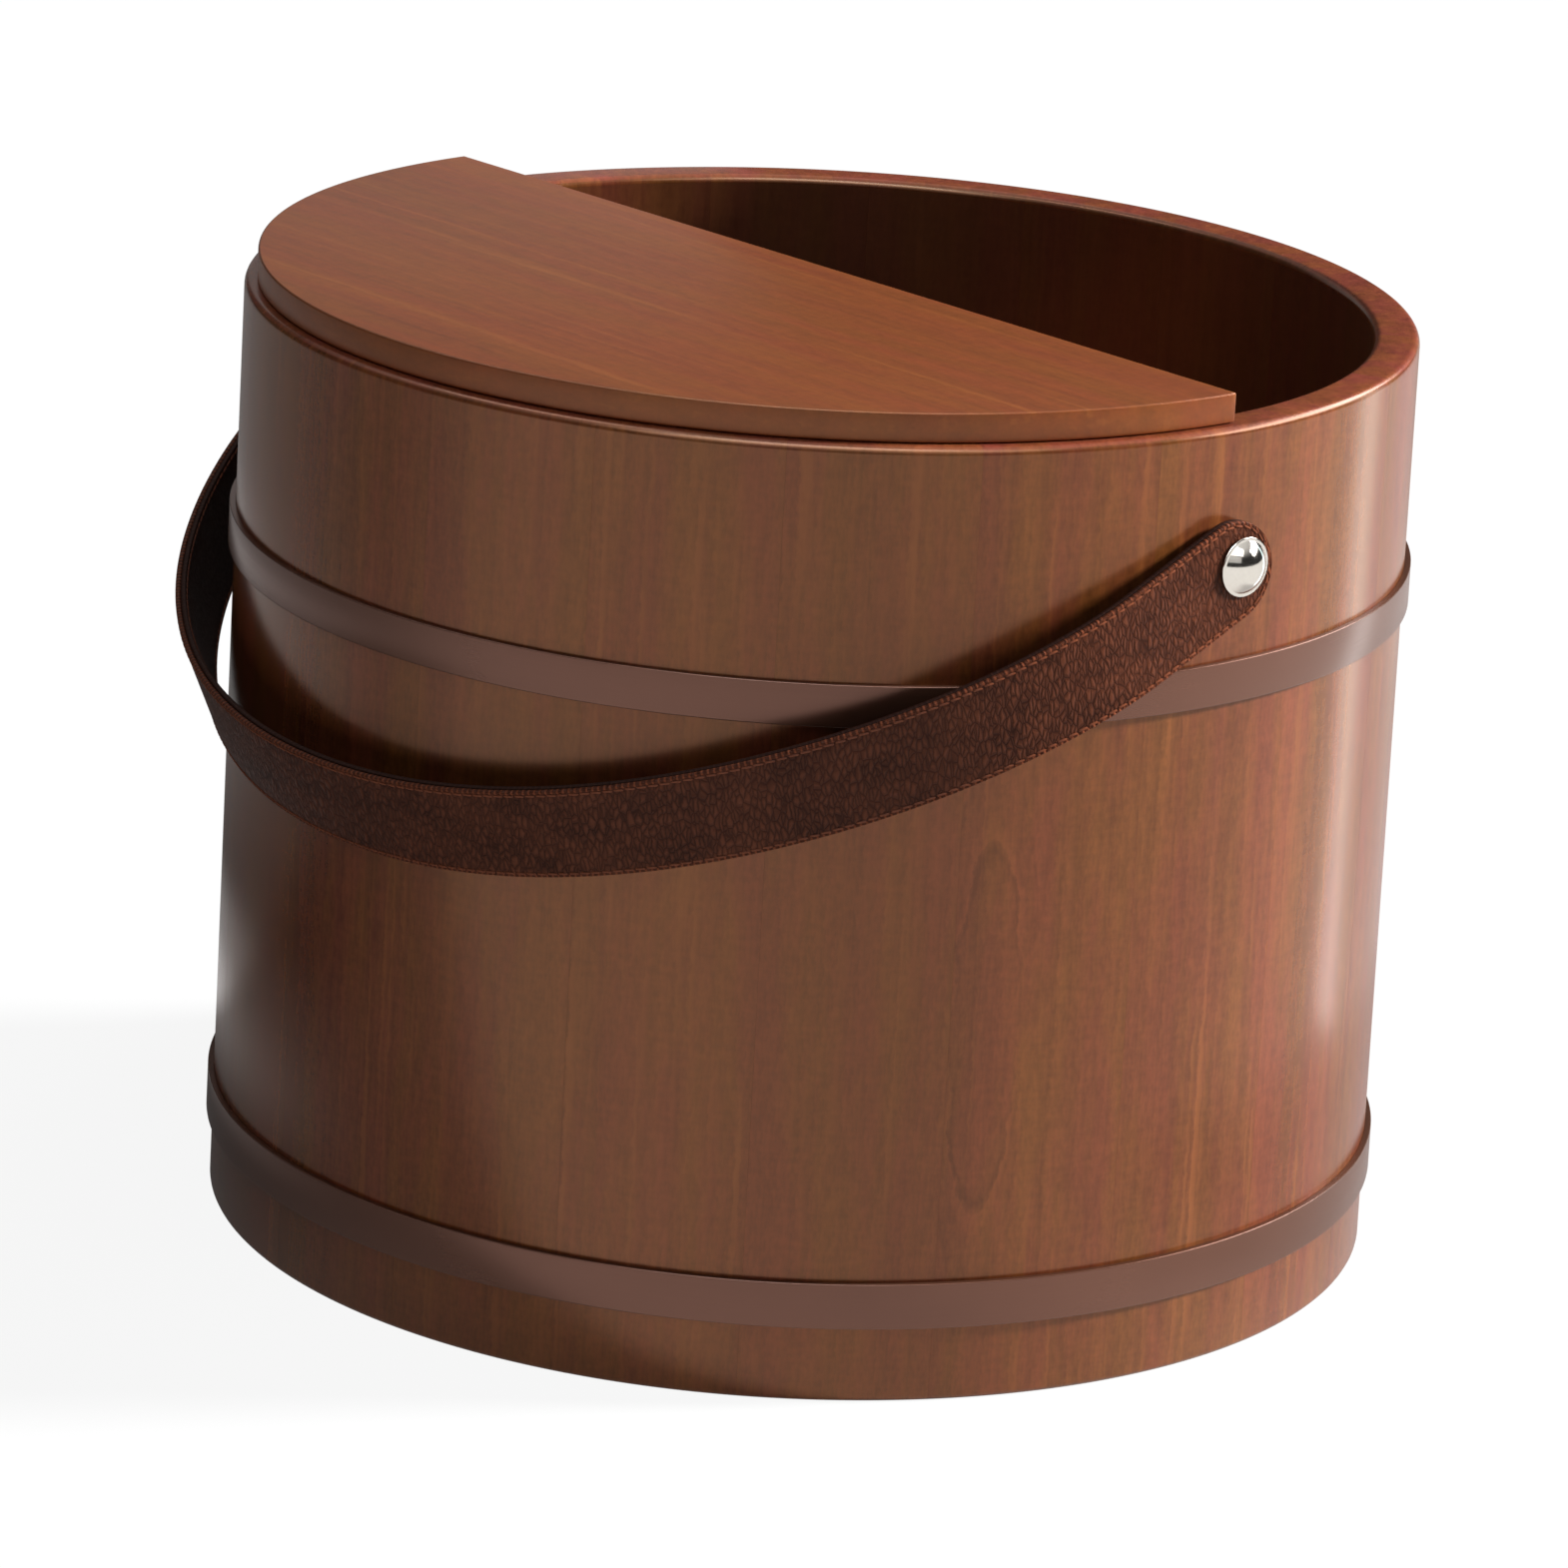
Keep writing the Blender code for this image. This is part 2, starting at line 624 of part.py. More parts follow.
def make_cap_nut(name, side):
    """Domed nut: a hexagon with a dome on its inner side, bored to take the screw's tip."""
    place = (0, 0, PIVOT_HEIGHT)
    turn = (0, side * math.pi / 2, 0)
    base = NUT_SEAT - NUT_HEIGHT
    middle = NUT_SEAT - NUT_HEIGHT / 2
    corner_radius = NUT_HALF_WIDTH / math.cos(math.pi / NUT_SIDES)
    hexagon = cylinder_mesh(name, corner_radius, NUT_HEIGHT, NUT_SIDES, lift=middle)
    nut = finish_pivot_piece(name, hexagon, side, "screw_steel")
    dome_radius = NUT_HALF_WIDTH - NUT_DOME_INSET
    dome_rise = base - NUT_BORE_END + NUT_DOME_WALL
    profile = [(0, middle), (dome_radius, middle)]
    for step in range(DOME_STEPS + 1):
        angle = math.pi / 2 * step / DOME_STEPS
        profile.append((dome_radius * math.cos(angle), base - dome_rise * math.sin(angle)))
    dome_mesh = turned_mesh(name + "_dome", profile, ROUND_FACETS, closed=False)
    join = nut.modifiers.new("Dome", "BOOLEAN")
    join.operation = "UNION"
    join.solver = "EXACT"
    join.object = add_cutter(name + "_dome", dome_mesh, place, turn)
    bore_length = NUT_SEAT + RUN_PAST - NUT_BORE_END
    bore_middle = NUT_BORE_END + bore_length / 2
    bore_mesh = cylinder_mesh(name + "_bore", BUSH_BORE, bore_length, ROUND_FACETS, lift=bore_middle)
    cut(nut, add_cutter(name + "_bore", bore_mesh, place, turn))


def make_pivot_hardware():
    for side, letter in ((-1, "left"), (1, "right")):
        make_bolt("pivot_screw_" + letter, side)
        make_bush("pivot_bush_" + letter, side)
        make_washer("pivot_washer_" + letter, side)
        make_cap_nut("pivot_nut_" + letter, side)


clear_scene()
PARTS = make_collection("foot_soak_bucket")
CUTTERS = make_collection("cutters")
make_staves()
make_bottom()
make_hoop("upper_hoop", UPPER_HOOP_BASE, UPPER_HOOP_WIDTH)
make_hoop("lower_hoop", LOWER_HOOP_LIFT, LOWER_HOOP_WIDTH)
make_lid()
make_handle()
make_pivot_hardware()
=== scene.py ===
"""The looks of the wooden foot soak bucket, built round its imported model.

Units are metres and +Z is up. The bucket stands on the floor with its axis on Z. The handle's screws lie
along X, and the half lid and the resting handle are on the side towards -Y.
"""

import json
import math
import random

import bmesh
import bpy
import numpy as np
from mathutils import Matrix, Vector


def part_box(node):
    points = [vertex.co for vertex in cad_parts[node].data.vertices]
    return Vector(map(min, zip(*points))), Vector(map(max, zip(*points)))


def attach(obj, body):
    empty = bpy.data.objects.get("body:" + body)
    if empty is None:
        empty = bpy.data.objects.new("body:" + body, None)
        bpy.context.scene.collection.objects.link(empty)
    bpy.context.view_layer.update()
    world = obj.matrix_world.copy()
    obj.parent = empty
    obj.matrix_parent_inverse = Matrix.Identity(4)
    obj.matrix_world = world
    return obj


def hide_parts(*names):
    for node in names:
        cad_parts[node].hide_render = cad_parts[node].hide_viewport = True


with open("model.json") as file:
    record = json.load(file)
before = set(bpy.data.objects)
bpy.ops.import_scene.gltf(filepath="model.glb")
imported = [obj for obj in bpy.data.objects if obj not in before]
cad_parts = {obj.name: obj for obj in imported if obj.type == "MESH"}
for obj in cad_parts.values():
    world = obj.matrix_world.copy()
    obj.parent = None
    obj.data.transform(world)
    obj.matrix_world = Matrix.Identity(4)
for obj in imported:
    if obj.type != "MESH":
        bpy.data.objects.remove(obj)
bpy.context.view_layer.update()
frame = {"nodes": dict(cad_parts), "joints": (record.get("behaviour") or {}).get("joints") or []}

SIDES = ((-1, "left"), (1, "right"))

# Barrel
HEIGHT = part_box("stave_06")[1].z
RIM_RADIUS = 0.185
FOOT_RADIUS = 0.187
WALL = 0.0145
RIM_ROUND = 0.0026
FOOT_ROUND = 0.0018
STAVES = 20
STAVE_STEPS = 28
STAVE_ANGLE = 2 * math.pi / STAVES
SEAM_GAP = 0.000008
SEAM_ROUND = 0.00003
PIVOT_BORE = 0.0033
BOTTOM_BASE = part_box("bottom_board_1")[0].z
BOTTOM_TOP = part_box("bottom_board_1")[1].z
BOTTOM_RADIUS = -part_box("bottom_board_1")[0].y
BOTTOM_BOARDS = 4
BOTTOM_SEAM = 0.00015
BOTTOM_EDGE = 0.0008
GROOVE_PLAY = 0.0003
TURN_STEPS = 280
MERGE = 0.000002
WALL_DRILL = 0.06
HEART_DEPTH = 0.004
FIGURE_HALF_WIDTH = 0.0110
FIGURE_HALF_HEIGHT = 0.059

# Hoops
HOOP_THICKNESS = 0.0017
HOOP_ROUND = 0.00035
HOOP_GAP = 0.00012
HOOP_PLAY = 0.0003

# Lid
LID_RADIUS = 0.181
LID_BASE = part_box("lid_board")[0].z
LID_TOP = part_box("lid_board")[1].z
LID_SETBACK = 0.0017
LID_TURN = Matrix.Rotation(math.radians(1.3), 4, "Z")
LID_EDGE = 0.0007
BATTEN_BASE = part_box("lid_batten_left")[0].z
BATTEN_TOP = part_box("lid_batten_left")[1].z
BATTEN_SPACING = 0.170
BATTEN_WIDTH = 0.020
BATTEN_START = 0.018
BATTEN_END = 0.139
BATTEN_EDGE = 0.0018
SCREW_MARGIN = 0.016
SCREW_HEAD_RADIUS = 0.0035
SCREW_SINK = 0.0005
SCREW_SHANK_RADIUS = 0.0016
SCREW_SLOT = (0.0040, 0.0009, 0.0030)
SCREW_EDGE = 0.0002
SINK_PLAY = 0.0007
SINK_DEPTH = 0.004
SINK_REACH = 0.002

# Handle
PIVOT = Vector(frame["joints"][0]["pos_m"])
STRAP_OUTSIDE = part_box("strap_leather")[1].x
STRAP_REACH = 0.2172
HANDLE_DIP = math.radians(25.13)
STRAP_WIDTH = 0.032
STRAP_THICKNESS = 0.0037
LEATHER_THICKNESS = 0.0018
STRAP_OVERRUN = 0.0115
STRAP_STRAIGHT = 0.040
STRAP_SIDE_PULL = 0.065
STRAP_END_PULL = 0.125
STRAP_END_FLAT = 0.001
STRAP_EDGE = 0.0007
STRAP_VALLEY = 0.00016
STRAP_VALLEY_WIDTH = 0.0007
STRAP_CROWN = 0.00010
STRAP_CROWN_RUN = 0.006
STRAP_RIM = 0.002
STRAP_HOLE = 0.0048
STRAP_DRILL = 0.02
STITCH_INSET = 0.0015
STITCH_PITCH = 0.0036
STITCH_LENGTH = 0.0030
STITCH_RADIUS = 0.00036
STITCH_SINK = 0.0002
STITCH_SLANT = 0.10

# Pivot hardware, as places along X from the barrel's axis
HEAD_SEAT = STRAP_OUTSIDE + 0.0003
HEAD_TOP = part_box("pivot_screw_right")[1].x
HEAD_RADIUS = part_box("pivot_screw_right")[1].y
HEAD_EDGE = 0.0009
HEAD_LIP = 0.0011
HEAD_UNDERCUT = 0.0006
BOLT_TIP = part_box("pivot_screw_right")[0].x
BOLT_RADIUS = 0.003
BUSH_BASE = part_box("pivot_bush_right")[0].x
BUSH_FLANGE = 0.0015
BUSH_FLANGE_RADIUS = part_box("pivot_bush_right")[1].y
BUSH_RADIUS = 0.0045
WASHER_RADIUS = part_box("pivot_washer_right")[1].y
WASHER_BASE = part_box("pivot_washer_right")[0].x
WASHER_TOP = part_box("pivot_washer_right")[1].x
NUT_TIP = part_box("pivot_nut_right")[0].x
NUT_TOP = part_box("pivot_nut_right")[1].x
NUT_HALF_WIDTH = 0.005
NUT_HEIGHT = 0.005
NUT_CHAMFER = 0.0009

# Camera and studio
CAMERA_PLACE = (1.7751, -1.5750, 0.8678)
CAMERA_HEADING = math.radians(48.59)
CAMERA_PITCH = math.radians(17.10)
CAMERA_ROLL = math.radians(3.09)
CAMERA_LENS = 177.5
CAMERA_SENSOR = 36
CAMERA_REACH = 50
FLOOR_SIZE = 60
KEY_HEADING = math.radians(60)
KEY_HEIGHT = math.radians(26)
KEY_SPREAD = math.radians(10)
KEY_POWER = 11.5
SKY_LEVEL = 0.03
SKY_TOP = 0.80


def solo(piece):
    """Makes one piece the only selected and the active one."""
    bpy.ops.object.select_all(action="DESELECT")
    piece.select_set(True)
    bpy.context.view_layer.objects.active = piece


def edit(piece, kind="VERT"):
    """Opens a piece in edit mode with nothing selected."""
    solo(piece)
    bpy.ops.object.mode_set(mode="EDIT")
    bpy.ops.mesh.select_mode(type=kind)
    bpy.ops.mesh.select_all(action="DESELECT")


def done():
    bpy.ops.object.mode_set(mode="OBJECT")


def select_whole():
    bpy.ops.mesh.select_all(action="SELECT")


def pick(piece, kind, test):
    """Selects the corners, edges or faces that pass a test, in edit mode."""
    bpy.ops.mesh.select_mode(type=kind)
    form = bmesh.from_edit_mesh(piece.data)
    items = {"VERT": form.verts, "EDGE": form.edges, "FACE": form.faces}[kind]
    for item in items:
        item.select_set(False)
    for item in items:
        if test(item):
            item.select_set(True)
    bmesh.update_edit_mesh(piece.data)


def apply_modifier(piece, kind, **settings):
    """Adds a modifier with its settings and applies it."""
    modifier = piece.modifiers.new(kind.title(), kind)
    for key, value in settings.items():
        setattr(modifier, key, value)
    solo(piece)
    bpy.ops.object.modifier_apply(modifier=modifier.name)


def settle(piece):
    """Puts a finished piece's place into its mesh."""
    solo(piece)
    bpy.ops.object.transform_apply(location=True, rotation=True, scale=True)


def smooth(piece, degrees=30):
    solo(piece)
    bpy.ops.object.shade_smooth_by_angle(angle=math.radians(degrees))


def add_solid(add, name, scale=(1, 1, 1), **settings):
    """Adds a primitive while nothing is selected, and puts its place into its mesh."""
    bpy.ops.object.select_all(action="DESELECT")
    add(**settings)
    piece = bpy.context.object
    piece.name = name
    piece.scale = scale
    settle(piece)
    return piece


def add_disc(name, radius, base, top, corners):
    """An upright cylinder, or a prism where its corners are few."""
    return add_solid(
        bpy.ops.mesh.primitive_cylinder_add, name, vertices=corners, radius=radius, depth=top - base,
        location=(0, 0, (top + base) / 2),
    )


def remove(piece):
    bpy.data.objects.remove(piece, do_unlink=True)


def carve(piece, cutter, operation="DIFFERENCE"):
    """Cuts a piece with another, or joins it to it, and removes the other."""
    apply_modifier(piece, "BOOLEAN", object=cutter, operation=operation, solver="EXACT")
    remove(cutter)


def finish(piece, body, material, nodes=()):
    """Gives a piece its material, its body and the nodes that it stands for."""
    if material is not None:
        piece.data.materials.clear()
        piece.data.materials.append(material)
    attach(piece, body)
    if nodes:
        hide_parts(*nodes)


def extrude(x, y, z):
    bpy.ops.mesh.extrude_region_move(TRANSFORM_OT_translate={"value": (x, y, z)})


def draw_outline(name, points, closed=False):
    """Draws a line through (radius, height) points in the XZ plane, one corner drawn out of the last."""
    first = points[0]
    piece = add_solid(bpy.ops.mesh.primitive_plane_add, name, size=0.001, location=(first[0], 0, first[1]))
    edit(piece)
    select_whole()
    bpy.ops.mesh.merge(type="CENTER")
    last = first
    chain = list(points[1:])
    if closed:
        chain.append(first)
    for point in chain:
        extrude(point[0] - last[0], 0, point[1] - last[1])
        last = point
    select_whole()
    bpy.ops.mesh.remove_doubles(threshold=MERGE)
    return piece


def lathe(name, points, closed=False, steps=TURN_STEPS):
    """Spins an outline all the way round the Z axis."""
    piece = draw_outline(name, points, closed)
    select_whole()
    bpy.ops.mesh.spin(steps=steps, angle=2 * math.pi, center=(0, 0, 0), axis=(0, 0, 1))
    select_whole()
    bpy.ops.mesh.remove_doubles(threshold=MERGE)
    bpy.ops.mesh.normals_make_consistent(inside=False)
    done()
    return piece


def arc(centre, radius, start, end, steps):
    """Points of an arc in an outline's plane, from one angle in degrees to the other."""
    points = []
    for step in range(steps + 1):
        angle = math.radians(start + (end - start) * step / steps)
        points.append((centre[0] + radius * math.cos(angle), centre[1] + radius * math.sin(angle)))
    return points


def copy_of(piece, name, matrix):
    """A copy with its own mesh, moved by a matrix."""
    other = piece.copy()
    other.data = piece.data.copy()
    other.name = name
    other.data.transform(matrix)
    bpy.context.scene.collection.objects.link(other)
    return other


def feed(item, inputs):
    """Gives a shader node its inputs, as values or links."""
    for key, value in inputs.items():
        if isinstance(value, bpy.types.NodeSocket):
            item.id_data.links.new(value, item.inputs[key])
        else:
            item.inputs[key].default_value = value


def node(tree, kind, inputs=None, **settings):
    """Adds a shader node with its settings and inputs."""
    item = tree.nodes.new(kind)
    for key, value in settings.items():
        setattr(item, key, value)
    feed(item, inputs or {})
    return item


def new_material(name):
    material = bpy.data.materials.new(name)
    material.use_nodes = True
    tree = material.node_tree
    return material, tree, tree.nodes["Principled BSDF"]


def calc(tree, operation, first, second=0.0, third=0.0, clamp=False):
    """A sum of one, two or three numbers or sockets."""
    return node(
        tree, "ShaderNodeMath", {0: first, 1: second, 2: third}, operation=operation, use_clamp=clamp
    ).outputs[0]


def times(tree, first, second, plus=None):
    """The product of two numbers or sockets, and a third added to it where there is one."""
    if plus is None:
        return calc(tree, "MULTIPLY", first, second)
    return calc(tree, "MULTIPLY_ADD", first, second, plus)


def stretched(tree, vector, scale):
    """Coordinates multiplied by a scale along each axis."""
    return node(tree, "ShaderNodeVectorMath", {0: vector, 1: scale}, operation="MULTIPLY").outputs[0]


def object_place(tree):
    return node(tree, "ShaderNodeTexCoord").outputs["Object"]


def shifted(tree, vector, across):
    """Coordinates moved sideways by a value."""
    step = node(tree, "ShaderNodeCombineXYZ", {1: across}).outputs[0]
    return node(tree, "ShaderNodeVectorMath", {0: vector, 1: step}, operation="ADD").outputs[0]


def noise(tree, vector, scale, detail=2.0, roughness=0.5):
    """Noise between 0 and 1 over stretched coordinates."""
    inputs = {"Vector": stretched(tree, vector, scale), "Scale": 1.0, "Detail": detail}
    return node(tree, "ShaderNodeTexNoise", {**inputs, "Roughness": roughness}).outputs["Fac"]


def fade(tree, value, start, end, low=0.0, high=1.0):
    """Eases from a low to a high level while a value goes from start to end."""
    inputs = {0: value, 1: start, 2: end, 3: low, 4: high}
    return node(tree, "ShaderNodeMapRange", inputs, interpolation_type="SMOOTHSTEP").outputs[0]


def blend_colour(tree, amount, first, second):
    """A mix of two colours, each a socket or three numbers."""
    first, second = ((*end, 1) if isinstance(end, tuple) else end for end in (first, second))
    return node(tree, "ShaderNodeMix", {0: amount, 6: first, 7: second}, data_type="RGBA").outputs[2]


def ramp(tree, value, stops):
    """A smooth ramp of grey levels given as (place, level)."""
    item = node(tree, "ShaderNodeValToRGB", {"Fac": value})
    item.color_ramp.interpolation = "EASE"
    while len(item.color_ramp.elements) < len(stops):
        item.color_ramp.elements.new(0.5)
    for element, (place, level) in zip(item.color_ramp.elements, stops):
        element.position = place
        element.color = (level, level, level, 1.0)
    return item.outputs["Color"]


def wood(name, olive, mauve, bright, roughness, contrast=1.0, gloss=1.0):
    """Lacquered wood, its colours as (dark, light) pairs.

    It reads two attributes of the piece. Grain is the place in the board from the heart of its figure: X into
    it, Y across it, Z along its fibres. Board is its tone, its seed and how strongly its figure shows.
    """
    material, tree, shader = new_material(name)
    grain = node(tree, "ShaderNodeAttribute", attribute_name="grain").outputs["Vector"]
    board = node(tree, "ShaderNodeAttribute", attribute_name="board").outputs["Vector"]
    parts = node(tree, "ShaderNodeSeparateXYZ", {0: grain})
    traits = node(tree, "ShaderNodeSeparateXYZ", {0: board})
    seed = node(tree, "ShaderNodeCombineXYZ", {part: traits.outputs[1] for part in range(3)}).outputs[0]
    place = node(tree, "ShaderNodeVectorMath", {0: grain, 1: seed}, operation="ADD").outputs[0]
    speckle = noise(tree, place, (850, 850, 320), 3.0, 0.6)
    place = shifted(tree, place, times(tree, speckle, 0.0016))
    fibre = noise(tree, place, (2300, 2300, 26), 2.0, 0.6)
    thread = noise(tree, place, (720, 720, 4.0), 2.0, 0.55)
    streak = noise(tree, place, (190, 190, 1.8), 2.0, 0.55)
    broad = noise(tree, place, (34, 34, 2.0), 2.0, 0.5)
    waver = calc(tree, "SUBTRACT", noise(tree, place, (110, 110, 55), 4.0, 0.65), 0.5)
    vein = noise(tree, shifted(tree, place, times(tree, waver, 0.0040)), (240, 240, 4.0), 2.0)
    pale = ramp(tree, vein, [(0.58, 0.0), (0.72, 1.0)])
    pale = times(tree, pale, noise(tree, place, (300, 300, 45), 3.0))
    mottle = ramp(tree, speckle, [(0.36, 0.0), (0.64, 1.0)])
    fleck = ramp(tree, noise(tree, place, (330, 330, 70), 3.0), [(0.36, 0.0), (0.64, 1.0)])
    ripple = ramp(tree, noise(tree, place, (150, 150, 560), 2.0), [(0.30, 0.0), (0.70, 1.0)])
    deep = ramp(tree, vein, [(0.28, 1.0), (0.36, 0.0)])
    hue = ramp(tree, noise(tree, place, (60, 60, 9.0), 4.0, 0.6), [(0.34, 0.0), (0.66, 1.0)])
    across = times(tree, waver, 0.0085, parts.outputs[1])
    across = calc(tree, "DIVIDE", across, FIGURE_HALF_WIDTH)
    along = calc(tree, "DIVIDE", parts.outputs[2], FIGURE_HALF_HEIGHT)
    eye = calc(tree, "SQRT", times(tree, across, across, times(tree, along, along)))
    arch = ramp(
        tree, calc(tree, "FRACT", times(tree, eye, 2.02)),
        [(0.0, 0.60), (0.05, 0.0), (0.17, 0.10), (0.32, 0.50), (0.74, 0.50), (0.92, 1.0), (1.0, 0.60)],
    )
    shown = ramp(tree, times(tree, eye, 0.5), [(0.20, 0.2), (0.46, 1.0), (0.60, 0.7), (0.85, 0.0)])
    tips = ramp(tree, calc(tree, "ABSOLUTE", along), [(0.10, 0.35), (0.75, 1.0)])
    shown = times(tree, times(tree, shown, tips), traits.outputs[2])
    shown = times(tree, shown, -0.60)
    level = times(tree, calc(tree, "SUBTRACT", arch, 0.5), shown, 0.5)
    layers = (
        (mottle, 0.18), (fleck, 0.17), (ripple, 0.12), (fibre, 0.16),
        (thread, 0.28), (streak, 0.55), (broad, 0.65),
    )
    for layer, weight in layers:
        level = times(tree, calc(tree, "SUBTRACT", layer, 0.5), weight * contrast, level)
    level = times(tree, deep, -0.14 * contrast, level)
    level = calc(tree, "ADD", level, traits.outputs[0], clamp=True)
    colour = blend_colour(tree, hue, blend_colour(tree, level, *olive), blend_colour(tree, level, *mauve))
    colour = blend_colour(tree, times(tree, pale, 0.80 * contrast), colour, bright)
    relief = times(tree, thread, 0.5, fibre)
    bump = node(tree, "ShaderNodeBump", {"Height": relief, "Strength": 0.10, "Distance": 0.00006})
    feed(shader, {
        "Base Color": colour,
        "Roughness": times(tree, calc(tree, "SUBTRACT", thread, 0.5), 0.05, roughness),
        "Normal": bump.outputs[0],
        "Specular IOR Level": gloss,
        "Specular Tint": (1.0, 0.52, 0.32, 1),
    })
    return material


def hoop_coat():
    """Satin copper brown coat on the hoops, with a faint run round the band."""
    material, tree, shader = new_material("copper_brown_coat")
    place = object_place(tree)
    mottle = noise(tree, place, (60, 60, 60), 3.0)
    run = noise(tree, place, (25, 25, 2600), 2.0)
    colour = blend_colour(tree, mottle, (0.048, 0.0200, 0.0115), (0.060, 0.0250, 0.0150))
    colour = blend_colour(tree, times(tree, run, 0.35), colour, (0.036, 0.0150, 0.0090))
    bump = node(tree, "ShaderNodeBump", {"Height": run, "Strength": 0.15, "Distance": 0.00004})
    feed(shader, {
        "Base Color": colour,
        "Roughness": times(tree, run, 0.08, 0.21),
        "Normal": bump.outputs[0],
        "IOR": 1.60,
        "Specular IOR Level": 1.0,
        "Specular Tint": (1.0, 0.52, 0.40, 1),
    })
    return material


def leather(name, high, low, rub, roughness, cell, relief):
    """Leather with a rubbed rim and a pebbled grain, over a UV map in metres along and across the strap."""
    material, tree, shader = new_material(name)
    place = node(tree, "ShaderNodeUVMap", uv_map="strap").outputs[0]
    warp = node(tree, "ShaderNodeTexNoise", {"Vector": stretched(tree, place, (260, 260, 0)), "Scale": 1.0})
    warped = node(
        tree, "ShaderNodeVectorMath", {0: warp.outputs["Color"], 1: (0.0014, 0.0014, 0), 2: place},
        operation="MULTIPLY_ADD",
    ).outputs[0]
    slanted = node(tree, "ShaderNodeMapping", {"Vector": warped, "Rotation": (0, 0, math.radians(-12))})
    pebbles = node(
        tree, "ShaderNodeTexVoronoi",
        {"Vector": stretched(tree, slanted.outputs[0], (1.6 / cell, 0.62 / cell, 0)), "Scale": 1.0},
        feature="DISTANCE_TO_EDGE",
    ).outputs["Distance"]
    top = ramp(tree, pebbles, [(0.0, 0.10), (0.12, 0.50), (0.36, 1.0)])
    wrinkle = noise(tree, place, (2600, 2600, 0), 3.0)
    wear = noise(tree, place, (45, 90, 0), 3.0)
    level = times(tree, top, 0.80)
    level = times(tree, calc(tree, "SUBTRACT", wear, 0.5), 0.9, level)
    level = calc(tree, "MULTIPLY_ADD", wrinkle, 0.25, level, clamp=True)
    rim = node(tree, "ShaderNodeAttribute", attribute_name="rim").outputs["Fac"]
    along = node(tree, "ShaderNodeSeparateXYZ", {0: place}).outputs[0]
    cord = calc(tree, "SINE", times(tree, along, 3300.0))
    bead = ramp(tree, rim, [(0.0, 1.0), (0.45, 0.85), (0.62, 0.0)])
    beaded = blend_colour(tree, ramp(tree, cord, [(0.0, 0.25), (1.0, 1.0)]), low, rub)
    colour = blend_colour(tree, bead, blend_colour(tree, level, low, high), beaded)
    height = times(tree, wrinkle, 0.12, top)
    bump = node(tree, "ShaderNodeBump", {"Height": height, "Strength": 0.9, "Distance": relief})
    feed(shader, {
        "Base Color": colour,
        "Roughness": times(tree, top, -0.14, roughness),
        "Normal": bump.outputs[0],
        "Specular IOR Level": 0.10,
        "Specular Tint": (1.0, 0.7, 0.6, 1),
    })
    return material


def thread_material():
    """Red brown waxed thread."""
    material, tree, shader = new_material("stitch_thread")
    place = object_place(tree)
    twist = noise(tree, place, (2400, 2400, 2400), 2.0)
    colour = blend_colour(tree, twist, (0.085, 0.021, 0.008), (0.175, 0.049, 0.019))
    feed(shader, {"Base Color": colour, "Roughness": 0.55, "Specular IOR Level": 0.15})
    return material


def steel(name, colour, roughness, scratch):
    """Bright metal with faint fine scratches in its polish."""
    material, tree, shader = new_material(name)
    place = object_place(tree)
    rub = noise(tree, place, (900, 900, 900), 2.0)
    tint = blend_colour(tree, rub, colour, tuple(0.9 * part for part in colour))
    rough = times(tree, rub, scratch, roughness)
    feed(shader, {"Base Color": tint, "Roughness": rough, "Metallic": 1.0})
    return material


def set_grain(piece, axes, shift, tone, seed, figure=0.0):
    """Stores where each corner lies in its board, along the board's own axes, and the board's traits."""
    order = ["XYZ".index(axis) for axis in axes]
    places = np.empty(len(piece.data.vertices) * 3)
    piece.data.vertices.foreach_get("co", places)
    grain = piece.data.attributes.new("grain", "FLOAT_VECTOR", "POINT")
    grain.data.foreach_set("vector", (places.reshape(-1, 3)[:, order] + shift).reshape(-1))
    traits = piece.data.attributes.new("board", "FLOAT_VECTOR", "POINT")
    traits.data.foreach_set("vector", [tone, seed, figure] * len(piece.data.vertices))


def wall_radius(height):
    return FOOT_RADIUS + (RIM_RADIUS - FOOT_RADIUS) * height / HEIGHT


def inner_radius(height):
    return wall_radius(height) - WALL


def stave_outline():
    """A stave's section, from the middle of the rim down its outer side and up its inner side."""
    groove_base = BOTTOM_BASE - GROOVE_PLAY
    groove_top = BOTTOM_TOP + GROOVE_PLAY
    groove_radius = BOTTOM_RADIUS + GROOVE_PLAY
    points = arc((RIM_RADIUS - RIM_ROUND, HEIGHT - RIM_ROUND), RIM_ROUND, 90, 0, 7)
    points += arc((FOOT_RADIUS - FOOT_ROUND, FOOT_ROUND), FOOT_ROUND, 0, -90, 5)
    points += arc((inner_radius(0) + FOOT_ROUND, FOOT_ROUND), FOOT_ROUND, -90, -180, 5)
    points.append((inner_radius(groove_base), groove_base))
    points.append((groove_radius, groove_base))
    points.append((groove_radius, groove_top))
    points.append((inner_radius(groove_top), groove_top))
    points += arc((inner_radius(HEIGHT) + RIM_ROUND, HEIGHT - RIM_ROUND), RIM_ROUND, 180, 90, 7)
    return points


